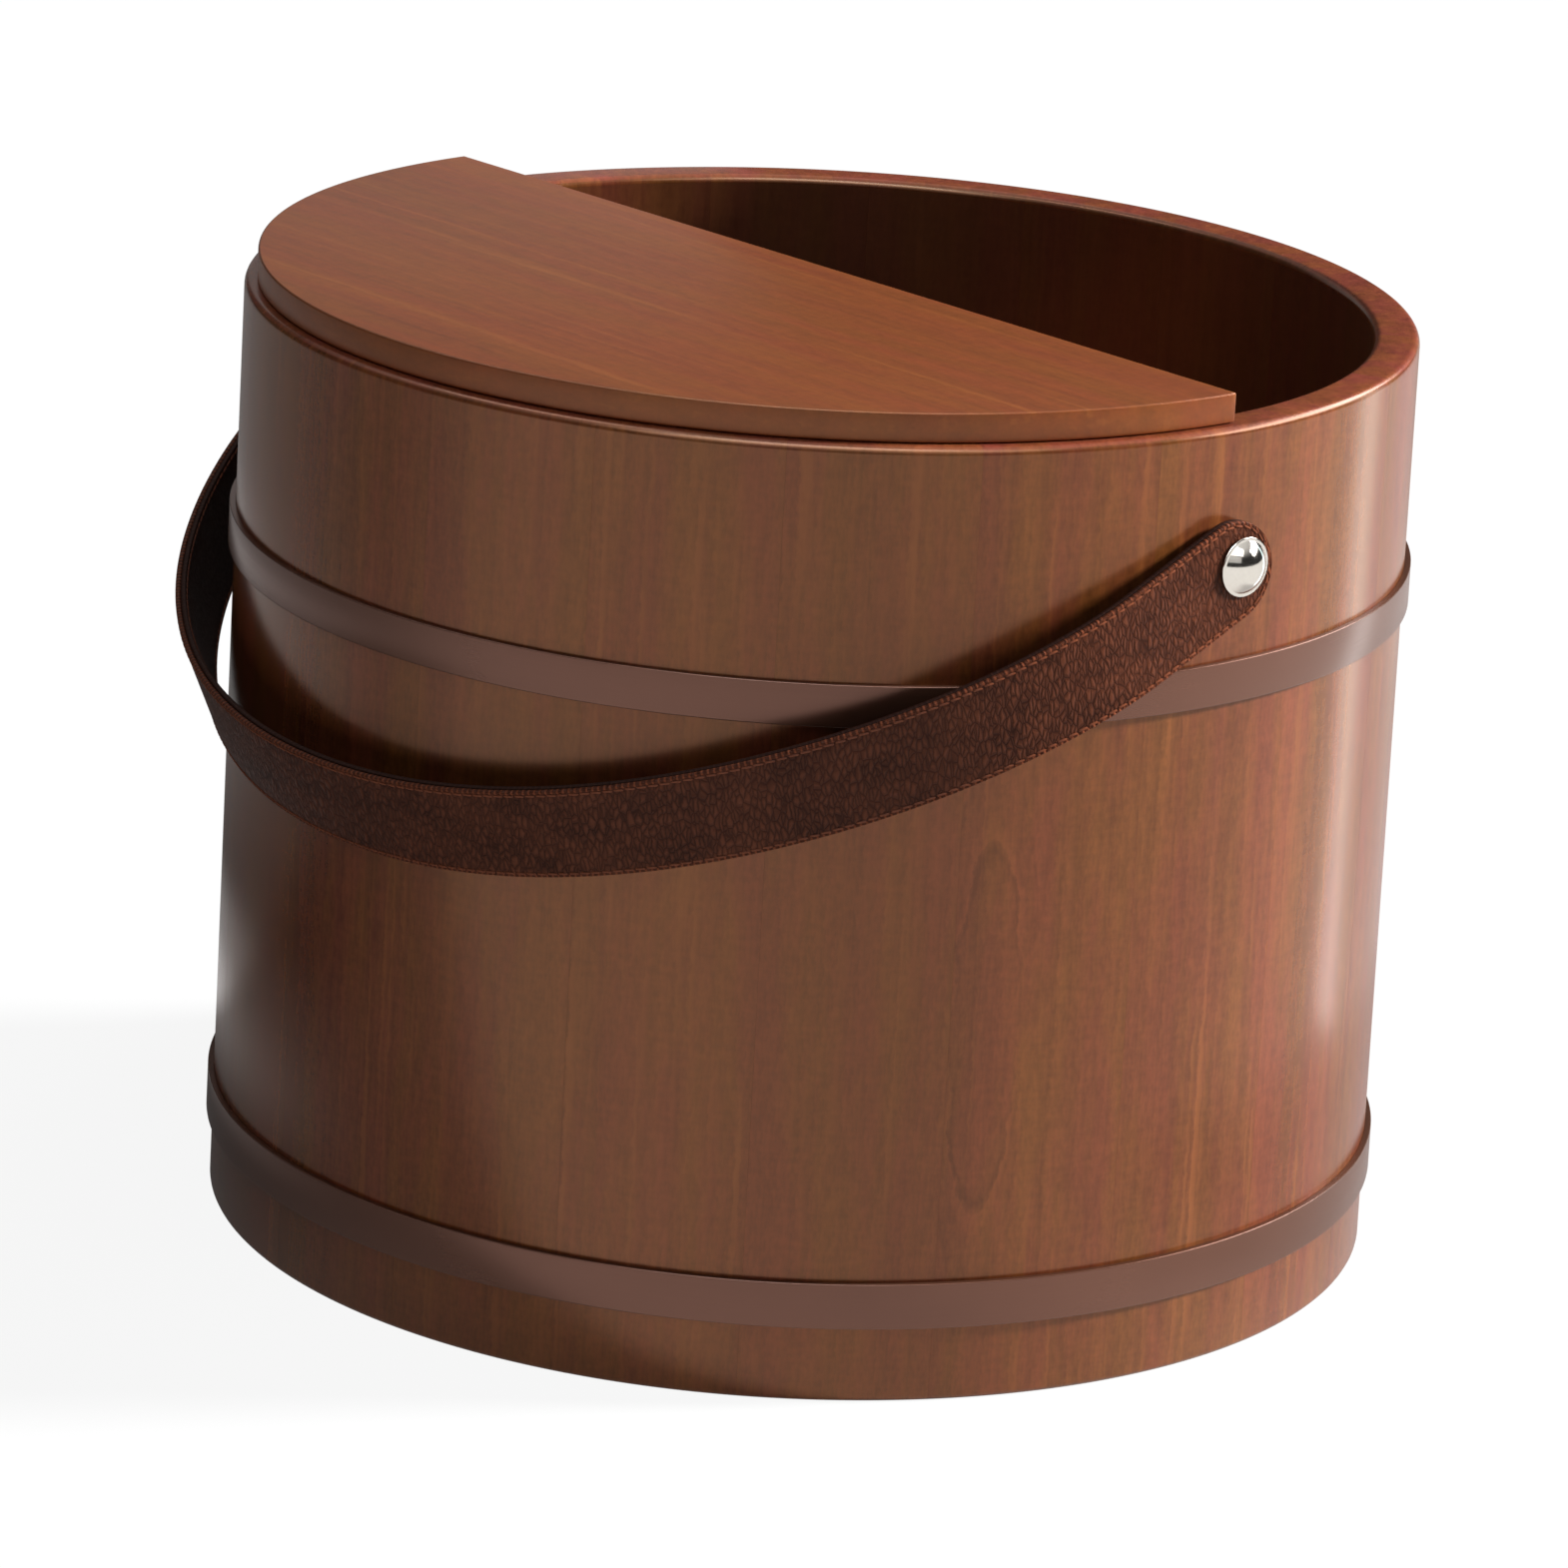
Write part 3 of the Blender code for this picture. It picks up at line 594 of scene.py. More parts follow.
def make_stave_template():
    """One stave on the +X side: its section spun through its share of the circle, its seam edges eased."""
    piece = draw_outline("stave_template", stave_outline(), closed=True)
    select_whole()
    bpy.ops.mesh.edge_face_add()
    done()
    angle = STAVE_ANGLE - SEAM_GAP / RIM_RADIUS
    piece.rotation_euler.z = angle / 2
    settle(piece)
    edit(piece)
    select_whole()
    bpy.ops.mesh.spin(steps=STAVE_STEPS, angle=angle, center=(0, 0, 0), axis=(0, 0, 1))
    select_whole()
    bpy.ops.mesh.normals_make_consistent(inside=False)

    def on_end(corner):
        return abs(abs(math.atan2(corner.co.y, corner.co.x)) - angle / 2) < 0.0001

    pick(piece, "EDGE", lambda edge: on_end(edge.verts[0]) and on_end(edge.verts[1]))
    bpy.ops.mesh.bevel(offset=SEAM_ROUND, segments=2, affect="EDGES", clamp_overlap=True)
    done()
    return piece


def drill(piece, radius, depth, place, rotation):
    """Cuts a round hole through a piece."""
    cutter = add_solid(
        bpy.ops.mesh.primitive_cylinder_add, "drill", vertices=48, radius=radius, depth=depth,
        location=place, rotation=rotation,
    )
    carve(piece, cutter)


def make_staves():
    """Twenty staves, each with its own grain and tone, lacquered brown outside and a little darker and less
    glossy inside, with painted light on the rim's upward faces.
    """
    outside = wood(
        "lacquered_stave", ((0.050, 0.0150, 0.0040), (0.150, 0.050, 0.0125)),
        ((0.053, 0.0120, 0.0065), (0.152, 0.037, 0.0165)), (0.190, 0.061, 0.0170), 0.22,
    )
    inside = wood(
        "dark_inside", ((0.045, 0.0130, 0.0050), (0.120, 0.0400, 0.0130)),
        ((0.045, 0.0110, 0.0060), (0.120, 0.0320, 0.0150)), (0.140, 0.045, 0.0160), 0.30, 0.8,
    )
    # Painted light: a lighter wood for the rim's upward faces, so that the stave tops look more brightly lit.
    painted_light_rim_top = wood(
        "rim_top_painted_light", ((0.075, 0.0180, 0.0070), (0.215, 0.058, 0.0200)),
        ((0.078, 0.0150, 0.0100), (0.215, 0.045, 0.0270)), (0.230, 0.066, 0.0230), 0.26,
    )
    template = make_stave_template()
    dice = random.Random(11)
    # Place across, height and strength of the figure in a stave's grain, by the stave's number
    figures = {
        20: (-0.0185, 0.119, 1.0), 5: (0.004, 0.15, 0.8), 9: (-0.006, 0.09, 0.7), 13: (0.003, 0.18, 1.0),
    }
    lighter = {2: 0.10, 3: 0.03}
    for number in range(STAVES):
        name = "stave_%02d" % (number + 1)
        turn = Matrix.Rotation(number * STAVE_ANGLE, 4, "Z")
        piece = copy_of(template, name + "_lacquered", Matrix.Identity(4))
        if number in (0, STAVES // 2):
            drill(piece, PIVOT_BORE, WALL_DRILL, (RIM_RADIUS, 0, PIVOT.z), (0, math.pi / 2, 0))
        tone = dice.uniform(-0.03, 0.03) + lighter.get(number + 1, 0.0)
        heart, middle, figure = figures.get(number + 1, (0.0, 2.0, 0.0))
        shift = (HEART_DEPTH - RIM_RADIUS, -heart, -middle)
        set_grain(piece, "XYZ", shift, tone, 3.7 * number + 1.3, figure)
        piece.data.transform(turn)
        piece.data.materials.clear()
        for material in (outside, inside, painted_light_rim_top):
            piece.data.materials.append(material)
        for face in piece.data.polygons:
            out = Vector((face.center.x, face.center.y, 0)).normalized()
            below_rim = face.center.z < HEIGHT - RIM_ROUND
            if below_rim and face.normal.dot(out) < -0.5:
                face.material_index = 1
            # The rim's upward faces take the lighter wood: painted light on the tops of the staves.
            if not below_rim and face.normal.z > 0.6:
                face.material_index = 2
        smooth(piece, 20)
        finish(piece, "bucket", None, [name])
    remove(template)


def saw_off(place, side):
    """Removes what lies beyond a place along Y, on one side, in edit mode."""
    select_whole()
    bpy.ops.mesh.bisect(plane_co=(0, place, 0), plane_no=(0, side, 0), use_fill=True, clear_outer=True)


def ease_corners(piece, offset, segments):
    """Rounds every sharp edge, in edit mode, and leaves that mode."""
    pick(piece, "EDGE", lambda edge: edge.calc_face_angle(0) > 1.0)
    bpy.ops.mesh.bevel(offset=offset, segments=segments, affect="EDGES")
    done()


def make_bottom():
    """A disc sawn into four boards with eased edges."""
    material = wood(
        "dark_bottom", ((0.024, 0.0080, 0.0030), (0.075, 0.0280, 0.0090)),
        ((0.024, 0.0060, 0.0040), (0.075, 0.0190, 0.0110)), (0.090, 0.030, 0.0110), 0.42,
    )
    width = 2 * BOTTOM_RADIUS / BOTTOM_BOARDS
    for number in range(BOTTOM_BOARDS):
        name = "bottom_board_%d" % (number + 1)
        piece = add_disc(name + "_lacquered", BOTTOM_RADIUS, BOTTOM_BASE, BOTTOM_TOP, 160)
        edit(piece)
        near = -BOTTOM_RADIUS + number * width
        if number > 0:
            saw_off(near + BOTTOM_SEAM, -1)
        if number < BOTTOM_BOARDS - 1:
            saw_off(near + width - BOTTOM_SEAM, 1)
        ease_corners(piece, BOTTOM_EDGE, 2)
        smooth(piece)
        set_grain(piece, "ZYX", (0.02, 0.01 * number, 0.8), 0.03 * number, 91.0 + number)
        finish(piece, "bucket", material, [name])


def make_hoops():
    """Flat bands that follow the wall's taper, with rounded edges."""
    material = hoop_coat()
    for name in ("upper_hoop", "lower_hoop"):
        low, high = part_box(name)
        base = low.z
        top = high.z
        inside_top = wall_radius(top) + HOOP_GAP
        inside_base = wall_radius(base) + HOOP_GAP
        outside_top = wall_radius(top) + HOOP_PLAY + HOOP_THICKNESS
        outside_base = wall_radius(base) + HOOP_PLAY + HOOP_THICKNESS
        points = arc((outside_top - HOOP_ROUND, top - HOOP_ROUND), HOOP_ROUND, 90, 0, 5)
        points += arc((outside_base - HOOP_ROUND, base + HOOP_ROUND), HOOP_ROUND, 0, -90, 5)
        points.append((inside_base, base))
        points.append((inside_top, top))
        piece = lathe(name + "_band", points, closed=True)
        smooth(piece, 35)
        finish(piece, "bucket", material, [name])


def make_lid():
    """Half-round board with crisp, slightly eased edges, and its two battens and six screws below."""
    board = add_disc("lid_board_lacquered", LID_RADIUS, LID_BASE, LID_TOP, TURN_STEPS)
    edit(board)
    saw_off(-LID_SETBACK, 1)
    ease_corners(board, LID_EDGE, 3)
    smooth(board, 40)
    material = wood(
        "lid_wood", ((0.088, 0.0225, 0.0040), (0.178, 0.0450, 0.0075)),
        ((0.088, 0.0195, 0.0050), (0.178, 0.0380, 0.0088)), (0.205, 0.060, 0.0120), 0.38, 0.9, 1.0,
    )
    set_grain(board, "ZYX", (-0.26, 0.13, 0.9), 0.0, 57.0)
    board.data.transform(LID_TURN)
    finish(board, "lid", material, ["lid_board"])
    under = wood(
        "batten_wood", ((0.070, 0.0220, 0.0080), (0.170, 0.0600, 0.0200)),
        ((0.070, 0.0170, 0.0100), (0.170, 0.0450, 0.0250)), (0.200, 0.065, 0.0220), 0.36, 1.0, 0.7,
    )
    steel_material = steel("screw_steel", (0.60, 0.58, 0.54), 0.28, 0.12)
    screw = make_lid_screw()
    near = -LID_SETBACK - BATTEN_START
    far = -BATTEN_END
    for side, letter in SIDES:
        place_x = side * BATTEN_SPACING / 2
        batten = add_solid(
            bpy.ops.mesh.primitive_cube_add, "lid_batten_%s_lacquered" % letter, size=1,
            scale=(BATTEN_WIDTH, near - far, BATTEN_TOP - BATTEN_BASE),
            location=(place_x, (near + far) / 2, (BATTEN_TOP + BATTEN_BASE) / 2),
        )
        edit(batten, "EDGE")
        pick(batten, "EDGE", lambda edge: min(edge.verts[0].co.z, edge.verts[1].co.z) < BATTEN_TOP - 0.001)
        bpy.ops.mesh.bevel(offset=BATTEN_EDGE, segments=4, affect="EDGES")
        done()
        pitch = (near - far - 2 * SCREW_MARGIN) / 2
        for number in range(3):
            place = (place_x, near - SCREW_MARGIN - number * pitch, 0)
            sink = lathe("countersink", [
                (0, BATTEN_BASE + SINK_DEPTH), (SCREW_EDGE, BATTEN_BASE + SINK_DEPTH),
                (SCREW_HEAD_RADIUS + SINK_PLAY, BATTEN_BASE - SCREW_EDGE),
                (0.006, BATTEN_BASE - SINK_REACH), (0, BATTEN_BASE - SINK_REACH),
            ], steps=32)
            sink.data.transform(Matrix.Translation(place))
            carve(batten, sink)
            name = "lid_screw_%s_%d" % (letter, number + 1)
            turn = Matrix.Rotation(0.7 + 1.3 * number + side, 4, "Z")
            piece = copy_of(screw, name + "_head", Matrix.Translation(place) @ turn)
            piece.data.transform(LID_TURN)
            smooth(piece)
            finish(piece, "lid", steel_material, [name])
        smooth(batten)
        set_grain(batten, "ZXY", (-0.25, 0.02, 0.7), 0.0, 70.0 + side)
        batten.data.transform(LID_TURN)
        finish(batten, "lid", under, ["lid_batten_" + letter])
    remove(screw)


def make_lid_screw():
    """Countersunk screw head with a cross recess, seen from below."""
    head = BATTEN_BASE + SCREW_SINK
    radius = SCREW_HEAD_RADIUS
    shank = SCREW_SHANK_RADIUS
    tip = head + 0.012
    taper = head + 0.010
    neck = head + 0.002
    rim_top = head + 0.0004
    rim_base = head + 0.00015
    points = [(0, tip), (shank, taper), (shank, neck), (radius, rim_top), (radius, rim_base)]
    points += [(radius - SCREW_EDGE, head), (0, head)]
    screw = lathe("lid_screw_head", points, steps=40)
    for turn in (0, math.pi / 2):
        slot = add_solid(
            bpy.ops.mesh.primitive_cube_add, "slot", SCREW_SLOT, size=1, location=(0, 0, head),
            rotation=(0, 0, turn),
        )
        carve(screw, slot)
    return screw


def strap_curve():
    """The line of the strap's outer face, in plan, lying in the XY plane."""
    bpy.ops.object.select_all(action="DESELECT")
    bpy.ops.curve.primitive_bezier_curve_add()
    curve = bpy.context.object
    curve.name = "strap_line"
    spline = curve.data.splines[0]
    spline.bezier_points.add(3)
    side = STRAP_OUTSIDE
    end = STRAP_OVERRUN
    start = STRAP_STRAIGHT
    pull = start + STRAP_SIDE_PULL
    short = 0.01
    places = [
        ((side, end), (side, end + short), (side, end - short)),
        ((side, -start), (side, -start + short), (side, -pull)),
        ((0, -STRAP_REACH), (STRAP_END_PULL, -STRAP_REACH), (-STRAP_END_PULL, -STRAP_REACH)),
        ((-side, -start), (-side, -pull), (-side, -start + short)),
        ((-side, end), (-side, end - short), (-side, end + short)),
    ]
    for point, (place, before, after) in zip(spline.bezier_points, places):
        point.handle_left_type = "FREE"
        point.handle_right_type = "FREE"
        point.co = (*place, 0)
        point.handle_left = (*before, 0)
        point.handle_right = (*after, 0)
    curve.data.dimensions = "3D"
    curve.data.twist_mode = "Z_UP"
    curve.data.resolution_u = 64
    return curve


def strap_half_width(along, length):
    """Half the strap's width at a place along it, with round ends."""
    radius = (STRAP_WIDTH - STRAP_END_FLAT) / 2
    from_end = np.minimum(along, length - along)
    inside = np.clip(radius - from_end, 0, radius)
    return STRAP_END_FLAT / 2 + np.sqrt(np.clip(radius ** 2 - inside ** 2, 0, None))


def edge_distance(along, across, length):
    """Distance from the strap's edge, in its flat shape."""
    radius = (STRAP_WIDTH - STRAP_END_FLAT) / 2
    from_end = np.minimum(along, length - along)
    inside = np.clip(radius - from_end, 0, None)
    sideways = np.clip(np.abs(across) - STRAP_END_FLAT / 2, 0, None)
    return np.where(inside > 0, radius - np.hypot(inside, sideways), STRAP_WIDTH / 2 - np.abs(across))


def band_section(near, far, corner, front, back):
    """Section of a flat band in (across, depth): a rounded rectangle with its wide sides in many steps."""
    half = STRAP_WIDTH / 2
    points = []
    for centre, start in (((half - corner, far + corner), -90), ((half - corner, near - corner), 0)):
        points += arc(centre, corner, start, start + 90, 4)
    points += [(x, near) for x in np.linspace(half - corner, corner - half, front + 1)[1:-1]]
    for centre, start in (((corner - half, near - corner), 90), ((corner - half, far + corner), 180)):
        points += arc(centre, corner, start, start + 90, 4)
    points += [(x, far) for x in np.linspace(corner - half, half - corner, back + 1)[1:-1]]
    return points


def make_band(name, length, slice_length, section):
    """A thin slice of the flat strap, repeated along it and closed at its ends."""
    piece = draw_outline(name, section, closed=True)
    select_whole()
    extrude(0, slice_length, 0)
    done()
    count = round(length / slice_length)
    apply_modifier(
        piece, "ARRAY", count=count, use_relative_offset=False, use_constant_offset=True,
        constant_offset_displace=(0, length / count, 0), use_merge_vertices=True, merge_threshold=0.00002,
    )
    edit(piece, "EDGE")
    bpy.ops.mesh.select_non_manifold()
    bpy.ops.mesh.fill_holes(sides=0)
    select_whole()
    bpy.ops.mesh.normals_make_consistent(inside=False)
    done()
    piece.data.transform(Matrix(((0, 1, 0, 0), (0, 0, 1, 0), (1, 0, 0, 0), (0, 0, 0, 1))))
    return piece


def shape_band(piece, length, front):
    """Rounds the ends of the flat strap and presses a valley along its stitching."""
    count = len(piece.data.vertices)
    places = np.empty(count * 3)
    piece.data.vertices.foreach_get("co", places)
    places = places.reshape(-1, 3)
    radius = (STRAP_WIDTH - STRAP_END_FLAT) / 2
    along = places[:, 0].copy()
    for_start = along < radius
    for_end = length - along < radius
    along[for_start] = radius * (1 - np.cos(along[for_start] / radius * math.pi / 2))
    from_end = length - places[for_end, 0]
    along[for_end] = length - radius * (1 - np.cos(from_end / radius * math.pi / 2))
    places[:, 0] = along
    places[:, 2] *= strap_half_width(along, length) / (STRAP_WIDTH / 2)
    inset = edge_distance(along, places[:, 2], length)
    on_front = np.abs(places[:, 1] - front) < 0.00002
    press = STRAP_VALLEY * np.exp(-((inset - STITCH_INSET) / STRAP_VALLEY_WIDTH) ** 2)
    rise = STRAP_CROWN * np.clip((inset - STITCH_INSET) / STRAP_CROWN_RUN, 0, 1)
    out = 1 if front > -0.001 else -1
    places[on_front, 1] -= out * (press + STRAP_CROWN - rise)[on_front]
    piece.data.vertices.foreach_set("co", places.reshape(-1))
    rim = piece.data.attributes.new("rim", "FLOAT", "POINT")
    rim.data.foreach_set("value", np.clip(inset / STRAP_RIM, 0, 1).astype(np.float32))
    layer = piece.data.uv_layers.new(name="strap")
    corners = np.empty(len(piece.data.loops), dtype=np.int32)
    piece.data.loops.foreach_get("vertex_index", corners)
    flat = places[corners][:, (0, 2)]
    layer.data.foreach_set("uv", flat.reshape(-1))


def bend_to_handle(piece, curve):
    """Bends a flat piece along the strap's line and hangs it from the screws."""
    apply_modifier(piece, "CURVE", object=curve, deform_axis="POS_X")
    piece.data.transform(Matrix.Translation(PIVOT) @ Matrix.Rotation(HANDLE_DIP, 4, "X"))


def stitch_path(length, inset):
    """Places and headings of the stitches round the flat strap, evenly spaced along a rounded loop."""
    radius = (STRAP_WIDTH - STRAP_END_FLAT) / 2 - inset
    centre = radius + inset
    half_flat = STRAP_END_FLAT / 2
    straight = length - 2 * centre
    bend = math.pi / 2 * radius
    total = 2 * straight + 4 * bend + 4 * half_flat
    count = round(total / STITCH_PITCH)
    stitches = []
    for number in range(count):
        walk = total * number / count
        for side in (1, -1):
            if walk < straight:
                along = centre + walk if side == 1 else length - centre - walk
                stitches.append((along, side * (half_flat + radius), 0.0))
                break
            walk -= straight
            if walk < 2 * bend + 2 * half_flat:
                middle = length - centre if side == 1 else centre
                passed = min(max(walk - bend, 0), 2 * half_flat)
                turn = (walk - passed) / radius
                across = half_flat - passed + radius * math.cos(turn)
                stitches.append((middle + side * radius * math.sin(turn), side * across, -turn))
                break
            walk -= 2 * bend + 2 * half_flat
    return stitches


def make_stitches(name, length, depth, curve, material):
    """One rounded stitch, copied all along both edges of the flat strap and bent with it."""
    stitch = add_solid(
        bpy.ops.mesh.primitive_cylinder_add, "stitch", vertices=8, radius=STITCH_RADIUS,
        depth=STITCH_LENGTH - 2 * STITCH_RADIUS, rotation=(0, math.pi / 2, 0),
    )
    edit(stitch, "FACE")
    for side in (-1, 1):
        for push, narrow in ((0.55, 0.80), (0.45, 0.5)):
            pick(stitch, "FACE", lambda face: face.normal.x * side > 0.9)
            extrude(side * push * STITCH_RADIUS, 0, 0)
            bpy.ops.transform.resize(value=(1, narrow, narrow), center_override=(0, 0, 0))
    done()
    pieces = []
    for along, across, heading in stitch_path(length, STITCH_INSET):
        place = Matrix.Translation((along, depth, across)) @ Matrix.Rotation(-heading - STITCH_SLANT, 4, "Y")
        pieces.append(copy_of(stitch, "stitch", place))
    remove(stitch)
    solo(pieces[0])
    for piece in pieces:
        piece.select_set(True)
    bpy.ops.object.join()
    row = bpy.context.object
    row.name = name
    bend_to_handle(row, curve)
    smooth(row, 50)
    finish(row, "handle", material)


def make_handle():
    """Grained leather over a smooth lining, stitched all round, with drilled round ends."""
    curve = strap_curve()
    length = curve.data.splines[0].calc_length()
    grained = leather(
        "grained_leather", (0.084, 0.0250, 0.0120), (0.015, 0.0042, 0.0024), (0.150, 0.041, 0.0180),
        0.55, 0.0024, 0.00034,
    )
    plain = leather(
        "lining_leather", (0.022, 0.0065, 0.0038), (0.010, 0.0028, 0.0017), (0.024, 0.0075, 0.0045),
        0.66, 0.0014, 0.00010,
    )
    thread = thread_material()
    middle = -LEATHER_THICKNESS
    back = -STRAP_THICKNESS
    layers = (
        ("strap_leather", "strap_leather", grained, 0.0005, 0.0, middle, 52, 2, 0.0),
        ("strap_lining", "lining_leather", plain, 0.0012, middle, back, 2, 24, back),
    )
    for name, slot_name, material, slice_length, near, far, near_steps, far_steps, pressed in layers:
        section = band_section(near, far, STRAP_EDGE, near_steps, far_steps)
        band = make_band(name + "_band", length, slice_length, section)
        shape_band(band, length, pressed)
        for along in (STRAP_OVERRUN, length - STRAP_OVERRUN):
            drill(band, STRAP_HOLE, STRAP_DRILL, (along, -0.002, 0), (math.pi / 2, 0, 0))
        bend_to_handle(band, curve)
        smooth(band, 60)
        finish(band, "handle", material, [name])
    make_stitches("strap_stitches_outside", length, -STITCH_SINK, curve, thread)
    make_stitches("strap_stitches_inside", length, back + STITCH_SINK, curve, thread)
    remove(curve)


def make_pivot_screw():
    """Polished dome with a thin rim, its shank through the strap and the wall."""
    rise = HEAD_TOP - HEAD_SEAT
    dome_radius = HEAD_RADIUS - HEAD_LIP
    dome_rise = rise - HEAD_EDGE
    sphere = (dome_radius ** 2 + dome_rise ** 2) / (2 * dome_rise)
    edge = math.degrees(math.acos(dome_radius / sphere))
    points = arc((0, HEAD_SEAT + rise - sphere), sphere, 90, edge, 14)
    half = HEAD_EDGE / 2
    points += arc((HEAD_RADIUS - half, HEAD_SEAT + half), half, 100, -90, 8)
    points += [(HEAD_RADIUS - HEAD_UNDERCUT, HEAD_SEAT), (BOLT_RADIUS, HEAD_SEAT)]
    points += [(BOLT_RADIUS, BOLT_TIP), (0, BOLT_TIP)]
    return lathe("pivot_screw", points, steps=96)


def make_pivot_bush():
    """Flanged sleeve with eased edges."""
    flange = BUSH_BASE + BUSH_FLANGE
    outer = 0.0004
    inner = 0.0003
    points = [(PIVOT_BORE, STRAP_OUTSIDE), (BUSH_RADIUS, STRAP_OUTSIDE), (BUSH_RADIUS, flange)]
    points += arc((BUSH_FLANGE_RADIUS - outer, flange - outer), outer, 90, 0, 4)
    points += arc((BUSH_FLANGE_RADIUS - inner, BUSH_BASE + inner), inner, 0, -90, 3)
    points.append((PIVOT_BORE, BUSH_BASE))
    return lathe("pivot_bush", points, closed=True, steps=72)


def make_pivot_washer():
    """Flat washer with eased edges."""
    ease = 0.00025
    points = arc((WASHER_RADIUS - ease, WASHER_TOP - ease), ease, 90, 0, 3)
    points += arc((WASHER_RADIUS - ease, WASHER_BASE + ease), ease, 0, -90, 3)
    points += arc((PIVOT_BORE + ease, WASHER_BASE + ease), ease, -90, -180, 3)
    points.append((PIVOT_BORE, WASHER_TOP))
    return lathe("pivot_washer", points, closed=True, steps=72)


def make_cap_nut():
    """Hexagon with chamfered corners and a polished dome."""
    base = NUT_TOP - NUT_HEIGHT
    inside = NUT_TOP - 0.002
    corner = NUT_HALF_WIDTH / math.cos(math.pi / 6)
    nut = add_disc("pivot_nut", corner, base, NUT_TOP, 6)
    drop = 0.0006
    clear = 0.001
    graze = 0.0001
    outer = corner + 0.0002
    inner = corner - NUT_CHAMFER
    envelope = lathe("nut_envelope", [
        (0, NUT_TOP + clear), (inner, NUT_TOP + graze), (outer, NUT_TOP - drop),
        (outer, base + drop), (inner, base - graze), (0, base - clear),
    ], steps=72)
    carve(nut, envelope, "INTERSECT")
    dome_step = 0.0004
    dome_radius = NUT_HALF_WIDTH - dome_step
    rise = base - NUT_TIP
    points = [(0, inside), (dome_radius - dome_step, inside), (dome_radius, base)]
    for step in range(1, 13):
        angle = math.pi / 2 * step / 12
        points.append((dome_radius * math.cos(angle), base - rise * math.sin(angle)))
    dome = lathe("nut_dome", points, steps=72)
    carve(nut, dome, "UNION")
    return nut


def make_pivot_hardware():
    """Screw, bush, washer and nut, laid on the pivot's axis at each end of the handle."""
    chrome = steel("polished_chrome", (0.74, 0.69, 0.62), 0.10, 0.05)
    plain = steel("plain_steel", (0.62, 0.60, 0.56), 0.26, 0.12)
    kinds = (
        ("pivot_screw_", make_pivot_screw, "pivot_chrome", chrome),
        ("pivot_bush_", make_pivot_bush, "fixing_steel", plain),
        ("pivot_washer_", make_pivot_washer, "fixing_steel", plain),
        ("pivot_nut_", make_cap_nut, "fixing_steel", plain),
    )
    for side, letter in SIDES:
        lay = Matrix.Translation(PIVOT) @ Matrix.Rotation(side * math.pi / 2, 4, "Y")
        for start, make, slot_name, material in kinds:
            name = start + letter
            piece = make()
            piece.name = name + "_turned"
            piece.data.transform(lay)
            smooth(piece, 32)
            finish(piece, "bucket", material, [name])


def dress_dowels():
    """Plain pale wood on the hidden dowels."""
    material, tree, shader = new_material("dowel_wood")
    place = object_place(tree)
    fibre = noise(tree, place, (900, 30, 900), 3.0)
    colour = blend_colour(tree, fibre, (0.36, 0.22, 0.12), (0.52, 0.36, 0.22))
    feed(shader, {"Base Color": colour, "Roughness": 0.65})
    for name, item in frame["nodes"].items():
        if name.startswith("bottom_dowel"):
            item.data.materials.clear()
            item.data.materials.append(material)


def make_camera():
    """A long lens, turned, tipped down and rolled as in the photograph."""
    turn = Matrix.Rotation(CAMERA_HEADING, 4, "Z")
    turn = turn @ Matrix.Rotation(math.pi / 2 - CAMERA_PITCH, 4, "X")
    turn = turn @ Matrix.Rotation(CAMERA_ROLL, 4, "Z")
    bpy.ops.object.camera_add(location=CAMERA_PLACE, rotation=turn.to_euler())
    camera = bpy.context.object
    camera.data.lens = CAMERA_LENS
    camera.data.sensor_width = CAMERA_SENSOR
    camera.data.clip_end = CAMERA_REACH
    bpy.context.scene.camera = camera


def add_card(name, place, aim, size, power, colour=(1, 1, 1)):
    """A soft rectangular lamp that faces a point and is seen only in reflections."""
    heading = (Vector(aim) - Vector(place)).to_track_quat("-Z", "Y")
    bpy.ops.object.light_add(type="AREA", location=place, rotation=heading.to_euler())
    card = bpy.context.object
    card.name = name
    card.data.shape = "RECTANGLE"
    card.data.size, card.data.size_y = size
    card.data.energy = power
    card.data.color = colour
    card.visible_camera = False
    card.visible_diffuse = False


def make_sky():
    """Dim surroundings that brighten towards the ceiling, and a white backdrop for the camera alone."""
    world = bpy.data.worlds.new("studio")
    world.use_nodes = True
    bpy.context.scene.world = world
    tree = world.node_tree
    backdrop = tree.nodes["Background"]
    direction = node(tree, "ShaderNodeTexCoord").outputs["Generated"]
    height = node(tree, "ShaderNodeSeparateXYZ", {0: direction}).outputs[2]
    strength = fade(tree, height, 0.40, 0.90, SKY_LEVEL, SKY_TOP)
    looked_at = node(tree, "ShaderNodeLightPath").outputs["Is Camera Ray"]
    feed(backdrop, {"Color": (1, 1, 1, 1), "Strength": calc(tree, "MAXIMUM", strength, looked_at)})


def make_floor(name, material, seen):
    """A wide floor at the bucket's foot, for the camera alone or only for reflections and bounced light."""
    floor = add_solid(bpy.ops.mesh.primitive_plane_add, name, size=FLOOR_SIZE)
    floor.data.materials.append(material)
    floor.visible_camera = seen
    floor.visible_diffuse = not seen
    floor.visible_glossy = not seen
    floor.visible_transmission = not seen
    floor.visible_shadow = False


def matt_glow(shader, colour, glow, strength):
    """Makes a floor matt, with a colour and a glow of its own."""
    feed(shader, {
        "Base Color": colour, "Roughness": 0.9, "Specular IOR Level": 0.0,
        "Emission Color": glow, "Emission Strength": strength,
    })


def white_sweep():
    """A sweep that is lit to nearly white, so that only a light shadow shows on it."""
    material, _, shader = new_material("white_sweep")
    matt_glow(shader, (0.06, 0.06, 0.06, 1), (1, 1, 1, 1), 0.91)
    return material


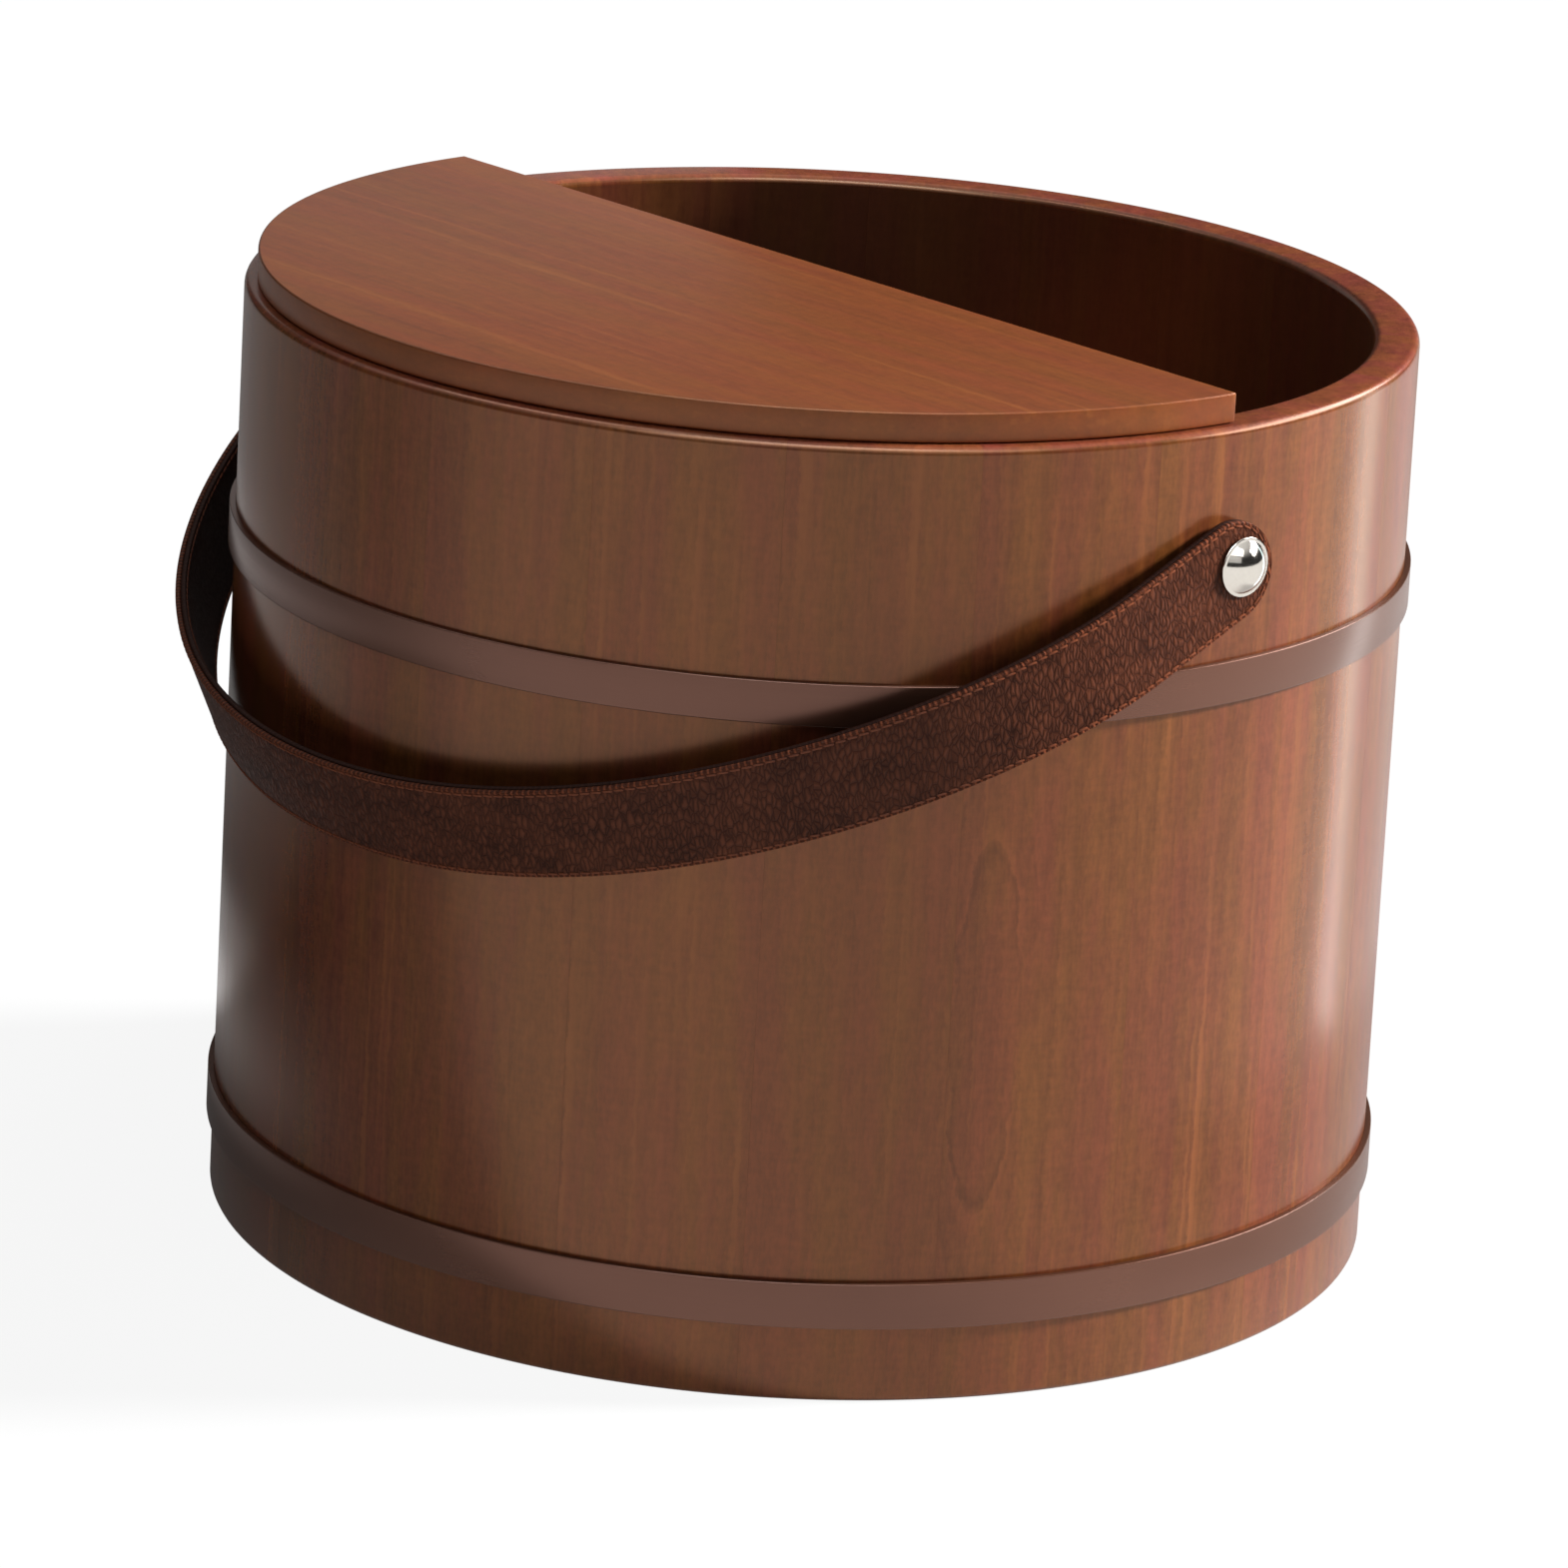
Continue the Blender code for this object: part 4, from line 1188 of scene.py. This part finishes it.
def bounce_sweep():
    """What the lacquer reflects: a floor that is pale in front, darker behind and banded on the left."""
    material, tree, shader = new_material("bounce_sweep")
    place = object_place(tree)
    parts = node(tree, "ShaderNodeSeparateXYZ", {0: place}).outputs
    place_x = parts[0]
    place_y = parts[1]
    walk = times(tree, place_x, 0.98, times(tree, place_y, -0.17))
    distance = node(tree, "ShaderNodeVectorMath", {0: place}, operation="LENGTH").outputs["Value"]
    reach = calc(tree, "MAXIMUM", distance, 0.05)
    front = fade(tree, calc(tree, "DIVIDE", walk, reach), -0.25, 0.60)
    behind = fade(tree, place_y, -0.02, 0.14)
    behind = times(tree, behind, fade(tree, reach, 0.33, 0.40, 1.0, 0.0))
    front = times(tree, front, times(tree, behind, -0.8, 1.0))
    back = fade(tree, reach, 0.30, 0.42, 0.20, 0.33)
    back = calc(tree, "ADD", back, fade(tree, reach, 0.65, 0.95, 0.0, 0.05))
    level = times(tree, front, calc(tree, "SUBTRACT", 0.43, back), back)
    aside = ramp(
        tree, calc(tree, "DIVIDE", reach, 1.25),
        [(0.18, 0.10), (0.225, 0.34), (0.28, 0.16), (0.335, 0.04), (0.50, 0.08), (0.68, 0.26), (0.80, 0.10)],
    )
    sideways = calc(tree, "DIVIDE", place_x, reach)
    shade = fade(tree, place_y, 0.10, 0.35, 0.0, 0.08)
    shade = times(tree, shade, fade(tree, sideways, 0.25, -0.05))
    level = times(tree, level, calc(tree, "SUBTRACT", 1.0, shade))
    left = fade(tree, sideways, -0.10, -0.70)
    level = times(tree, left, calc(tree, "SUBTRACT", aside, level), level)
    grey = node(tree, "ShaderNodeCombineXYZ", {part: level for part in range(3)}).outputs[0]
    matt_glow(shader, grey, grey, 0.5)
    return material


def make_studio():
    """Pale floor, dim surroundings, one low key from the right and cards for the long highlights."""
    make_floor("studio_floor", white_sweep(), True)
    make_floor("bounce_floor", bounce_sweep(), False)
    make_sky()
    turn = Matrix.Rotation(KEY_HEADING, 4, "Z") @ Matrix.Rotation(math.pi / 2 - KEY_HEIGHT, 4, "Y")
    bpy.ops.object.light_add(type="SUN", location=(2, 2, 2), rotation=turn.to_euler())
    key = bpy.context.object
    key.name = "key_light"
    key.data.energy = KEY_POWER
    key.data.angle = KEY_SPREAD
    key.visible_glossy = False
    blue = (0.75, 0.95, 1.0)
    deep_blue = (0.60, 0.85, 1.0)
    add_card("tall_card", (0.1815, 0.295, 0.207), (0.176, 0.0746, 0.207), (0.037, 0.39), 0.104, blue)
    add_card("front_strip", (0.84, -0.66, 1.49), (0, 0, 0.3), (2.1, 0.75), 14.0)
    add_card("rim_card", (-0.50, -0.36, 1.40), (-0.50, 0.165, 0.297), (0.75, 0.20), 1.9)
    add_card("inner_rim_card", (0.465, -0.435, 1.48), (-0.12, 0.12, 0.297), (0.95, 0.34), 9.0, deep_blue)
    add_card("front_card", (1.05, -0.93, 0.85), (0, 0, 0.28), (1.8, 0.5), 1.7)
    add_card("right_card", (0.52, 1.28, 1.05), (0.1, 0.1, 0.28), (1.6, 0.5), 26.0)
    add_card("back_card", (-0.47, 0.17, 0.43), (-0.12, -0.05, 0.31), (0.30, 0.30), 0.07)
    bpy.context.scene.view_settings.view_transform = "Standard"


make_camera()
make_staves()
make_bottom()
make_hoops()
make_lid()
make_handle()
make_pivot_hardware()
dress_dowels()
make_studio()
